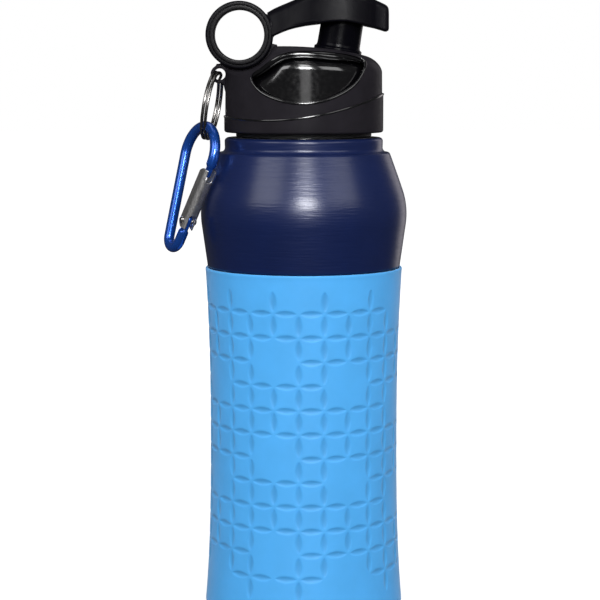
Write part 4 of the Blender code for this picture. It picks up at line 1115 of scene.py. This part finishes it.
def make_carabiner():
    plane = CarabinerPlane()
    sections = [squared_loop(middle, outward * wide, plane.normal * thick, 1 - 0.6 * square, 28,
                             0.5)
                for middle, outward, wide, thick, square in frame_stations(plane)]
    add_piece("carabiner_rod", sweep(sections), "carabiner", "blue_anodised", "carabiner_frame")

    head = GATE_HALF_W + 0.2
    corners = [(0, -head - 0.75, 0), (0.9, -head - 0.62, 0.8), (1.5, -head, 0.1),
               (RIVET_R, -head, 0), (RIVET_R, head, 0), (1.5, head, 0.1),
               (0.9, head + 0.62, 0.8), (0, head + 0.75, 0)]
    points, faces = lathe(corners, 6, 48)
    placed = (plane.on_gate(plane.run - TANG_BACK)
              + points @ np.array([plane.gate_out, plane.gate_down, plane.normal]))
    add_piece("rivet_heads", (placed, faces), "carabiner", "rivet_steel", "gate_rivet")
    make_gate(plane)
    make_spring(plane)


def make_gate(plane):
    """Folded sheet channel with ears at the nose and a slot for the tang."""
    tail = plane.run - GATE_TAIL
    middle, half = (GATE_TIP + tail) / 2, (tail - GATE_TIP) / 2
    top = GATE_HALF_DEPTH + GATE_SHEET
    tang = plane.run - TANG_END - 1.2
    rivet = plane.run - TANG_BACK

    def field(out, lift, run):
        """Fields of (out, lift, run), in mm from the gate's own line."""
        ends = np.abs(run - middle) - half
        skin = smooth_max(np.abs(lift) - GATE_HALF_W, out - top, 2.2)
        skin = smooth_max(skin, -GATE_HALF_DEPTH - out, 0.3)
        # rounded ends of the two cheeks
        low_corner = -GATE_HALF_DEPTH - out
        skin = smooth_max(skin, smooth_max(ends, low_corner + ends + 1.6, 1.2), 0.35)
        hollow = smooth_max(np.abs(lift) - GATE_HALF_W + GATE_SHEET, out - GATE_HALF_DEPTH, 1.0)
        body = cut(skin, hollow, 0.25)
        for start, stop in ((GATE_TIP - 3, NOSE_END + 1.8 - SLOT_HALF_W),
                            (tang + SLOT_HALF_W, tail + 3)):
            run_in = np.abs(run - (start + stop) / 2) - (stop - start) / 2
            slot = np.sqrt(np.maximum(run_in, 0) ** 2 + lift ** 2) - SLOT_HALF_W
            body = cut(body, np.maximum(slot, 0.3 - out), 0.25)
        hole = np.sqrt((run - rivet) ** 2 + out ** 2) - RIVET_R - 0.2
        return cut(body, hole, 0.15)

    points, faces, normals = surface_net(field, (-2.8, -3.0, GATE_TIP - 0.8),
                                         (3.4, 3.0, tail + 0.8), 0.12)
    turn = np.array([plane.gate_out, plane.normal, plane.gate_down])
    if np.linalg.det(turn) < 0:
        faces = faces[:, ::-1]
    add_piece("gate_channel", (plane.on_gate(0) + points @ turn, faces, normals @ turn), "gate",
              "gate_sheet", "carabiner_gate")


def make_spring(plane):
    coil_r, wire_r, turns = 1.05, 0.22, 6
    start, end = NOSE_END + 1.5, plane.run - TANG_END - 0.6
    sections = []
    for share in np.linspace(0, 1, turns * 24 + 1):
        angle = math.tau * turns * share
        out = plane.gate_out * math.cos(angle) + plane.normal * math.sin(angle)
        middle = plane.on_gate(start + (end - start) * share) + out * coil_r
        sections.append(squared_loop(middle, out * wire_r, plane.gate_down * wire_r, 1.0, 10))
    add_piece("gate_coil", sweep(sections), "gate", "spring_wire", "gate_spring")


# ---------------- camera, light, floor
AIM = Vector((0, 0, 0.17))  # the shoulder, in metres


def make_camera():
    data = bpy.data.cameras.new("camera")
    data.sensor_width = 36.0
    data.lens = 120.0
    camera = put("camera", data)
    camera.location = (-0.0014, -0.75, 0.2039)
    camera.rotation_euler = (math.radians(83.43), 0.0, 0.0)
    bpy.context.scene.camera = camera


def add_light(name, azimuth, elevation, distance, width, height, power, color=(1, 1, 1)):
    """A soft box that faces the shoulder; azimuth 0 is in front and turns towards +X."""
    data = bpy.data.lights.new(name, "AREA")
    data.shape = "RECTANGLE"
    data.size, data.size_y = width, height
    data.energy = power
    data.color = color
    a, e = math.radians(azimuth), math.radians(elevation)
    away = Vector((math.sin(a) * math.cos(e), -math.cos(a) * math.cos(e), math.sin(e)))
    light = put(name, data)
    light.location = AIM + away * distance
    light.rotation_euler = away.to_track_quat("Z", "Y").to_euler()
    return light


def make_stage():
    add_light("key_strip", 3, 20, 1.25, 0.34, 0.30, 12)
    add_light("key_top", 3, 42, 1.3, 0.3, 0.45, 2.0)
    add_light("fill_strip", 3, 2, 1.3, 0.34, 0.40, 0.3)
    add_light("left_box", -46, 28, 1.3, 0.75, 0.6, 3.9)
    add_light("right_box", 47, 28, 1.3, 0.75, 0.6, 2.8)
    for name, azimuth, power in (("left_wide", -88, 9.5), ("right_wide", 88, 9.0)):
        add_light(name, azimuth, 15, 1.6, 1.5, 1.5, power).visible_glossy = False
    add_light("top_box", 180, 72, 1.5, 1.2, 1.2, 3)
    add_light("right_card", 146, 5, 1.4, 0.5, 0.9, 1.0, color=(1.0, 0.93, 0.96))

    bm = bmesh.new()
    bmesh.ops.create_circle(bm, cap_ends=True, segments=96, radius=6.0)
    mesh = bpy.data.meshes.new("floor")
    bm.to_mesh(mesh)
    bm.free()
    floor = put("floor", mesh)
    pale = Look("pale_floor", (0.5, 0.5, 0.5), 0.9, sockets={"Emission Color": (1, 1, 1, 1)})
    distance = pale.add("VectorMath", {0: pale.place}, operation="LENGTH")["Value"]
    pale.drive("Emission Strength", pale.spread(distance, 0.72, 1.0, 0.03, 0.5))
    mesh.materials.append(pale.material)
    floor.visible_glossy = False
    floor.visible_diffuse = False

    world = bpy.data.worlds.new("world")
    bpy.context.scene.world = world
    world.use_nodes = True
    tree = world.node_tree
    dim = tree.nodes["Background"]
    for socket, value in (("Color", (1, 1, 1, 1)), ("Strength", 0.05)):
        dim.inputs[socket].default_value = value
    seen = add_node(tree, "Background", {"Color": (1, 1, 1, 1)})["Background"]
    mixed = add_node(tree, "MixShader", {
        "Fac": add_node(tree, "LightPath", {})["Is Camera Ray"],
        1: dim.outputs["Background"], 2: seen})["Shader"]
    tree.links.new(mixed, tree.nodes["World Output"].inputs["Surface"])
    bpy.context.scene.view_settings.view_transform = "Standard"


# ---------------- build
looks = make_looks()
make_boot()
make_vessel()
make_liner()
make_shell()
make_core()
make_seals()
make_spout()
make_lever()
make_bushes()
make_split_ring()
make_carabiner()
make_camera()
make_stage()
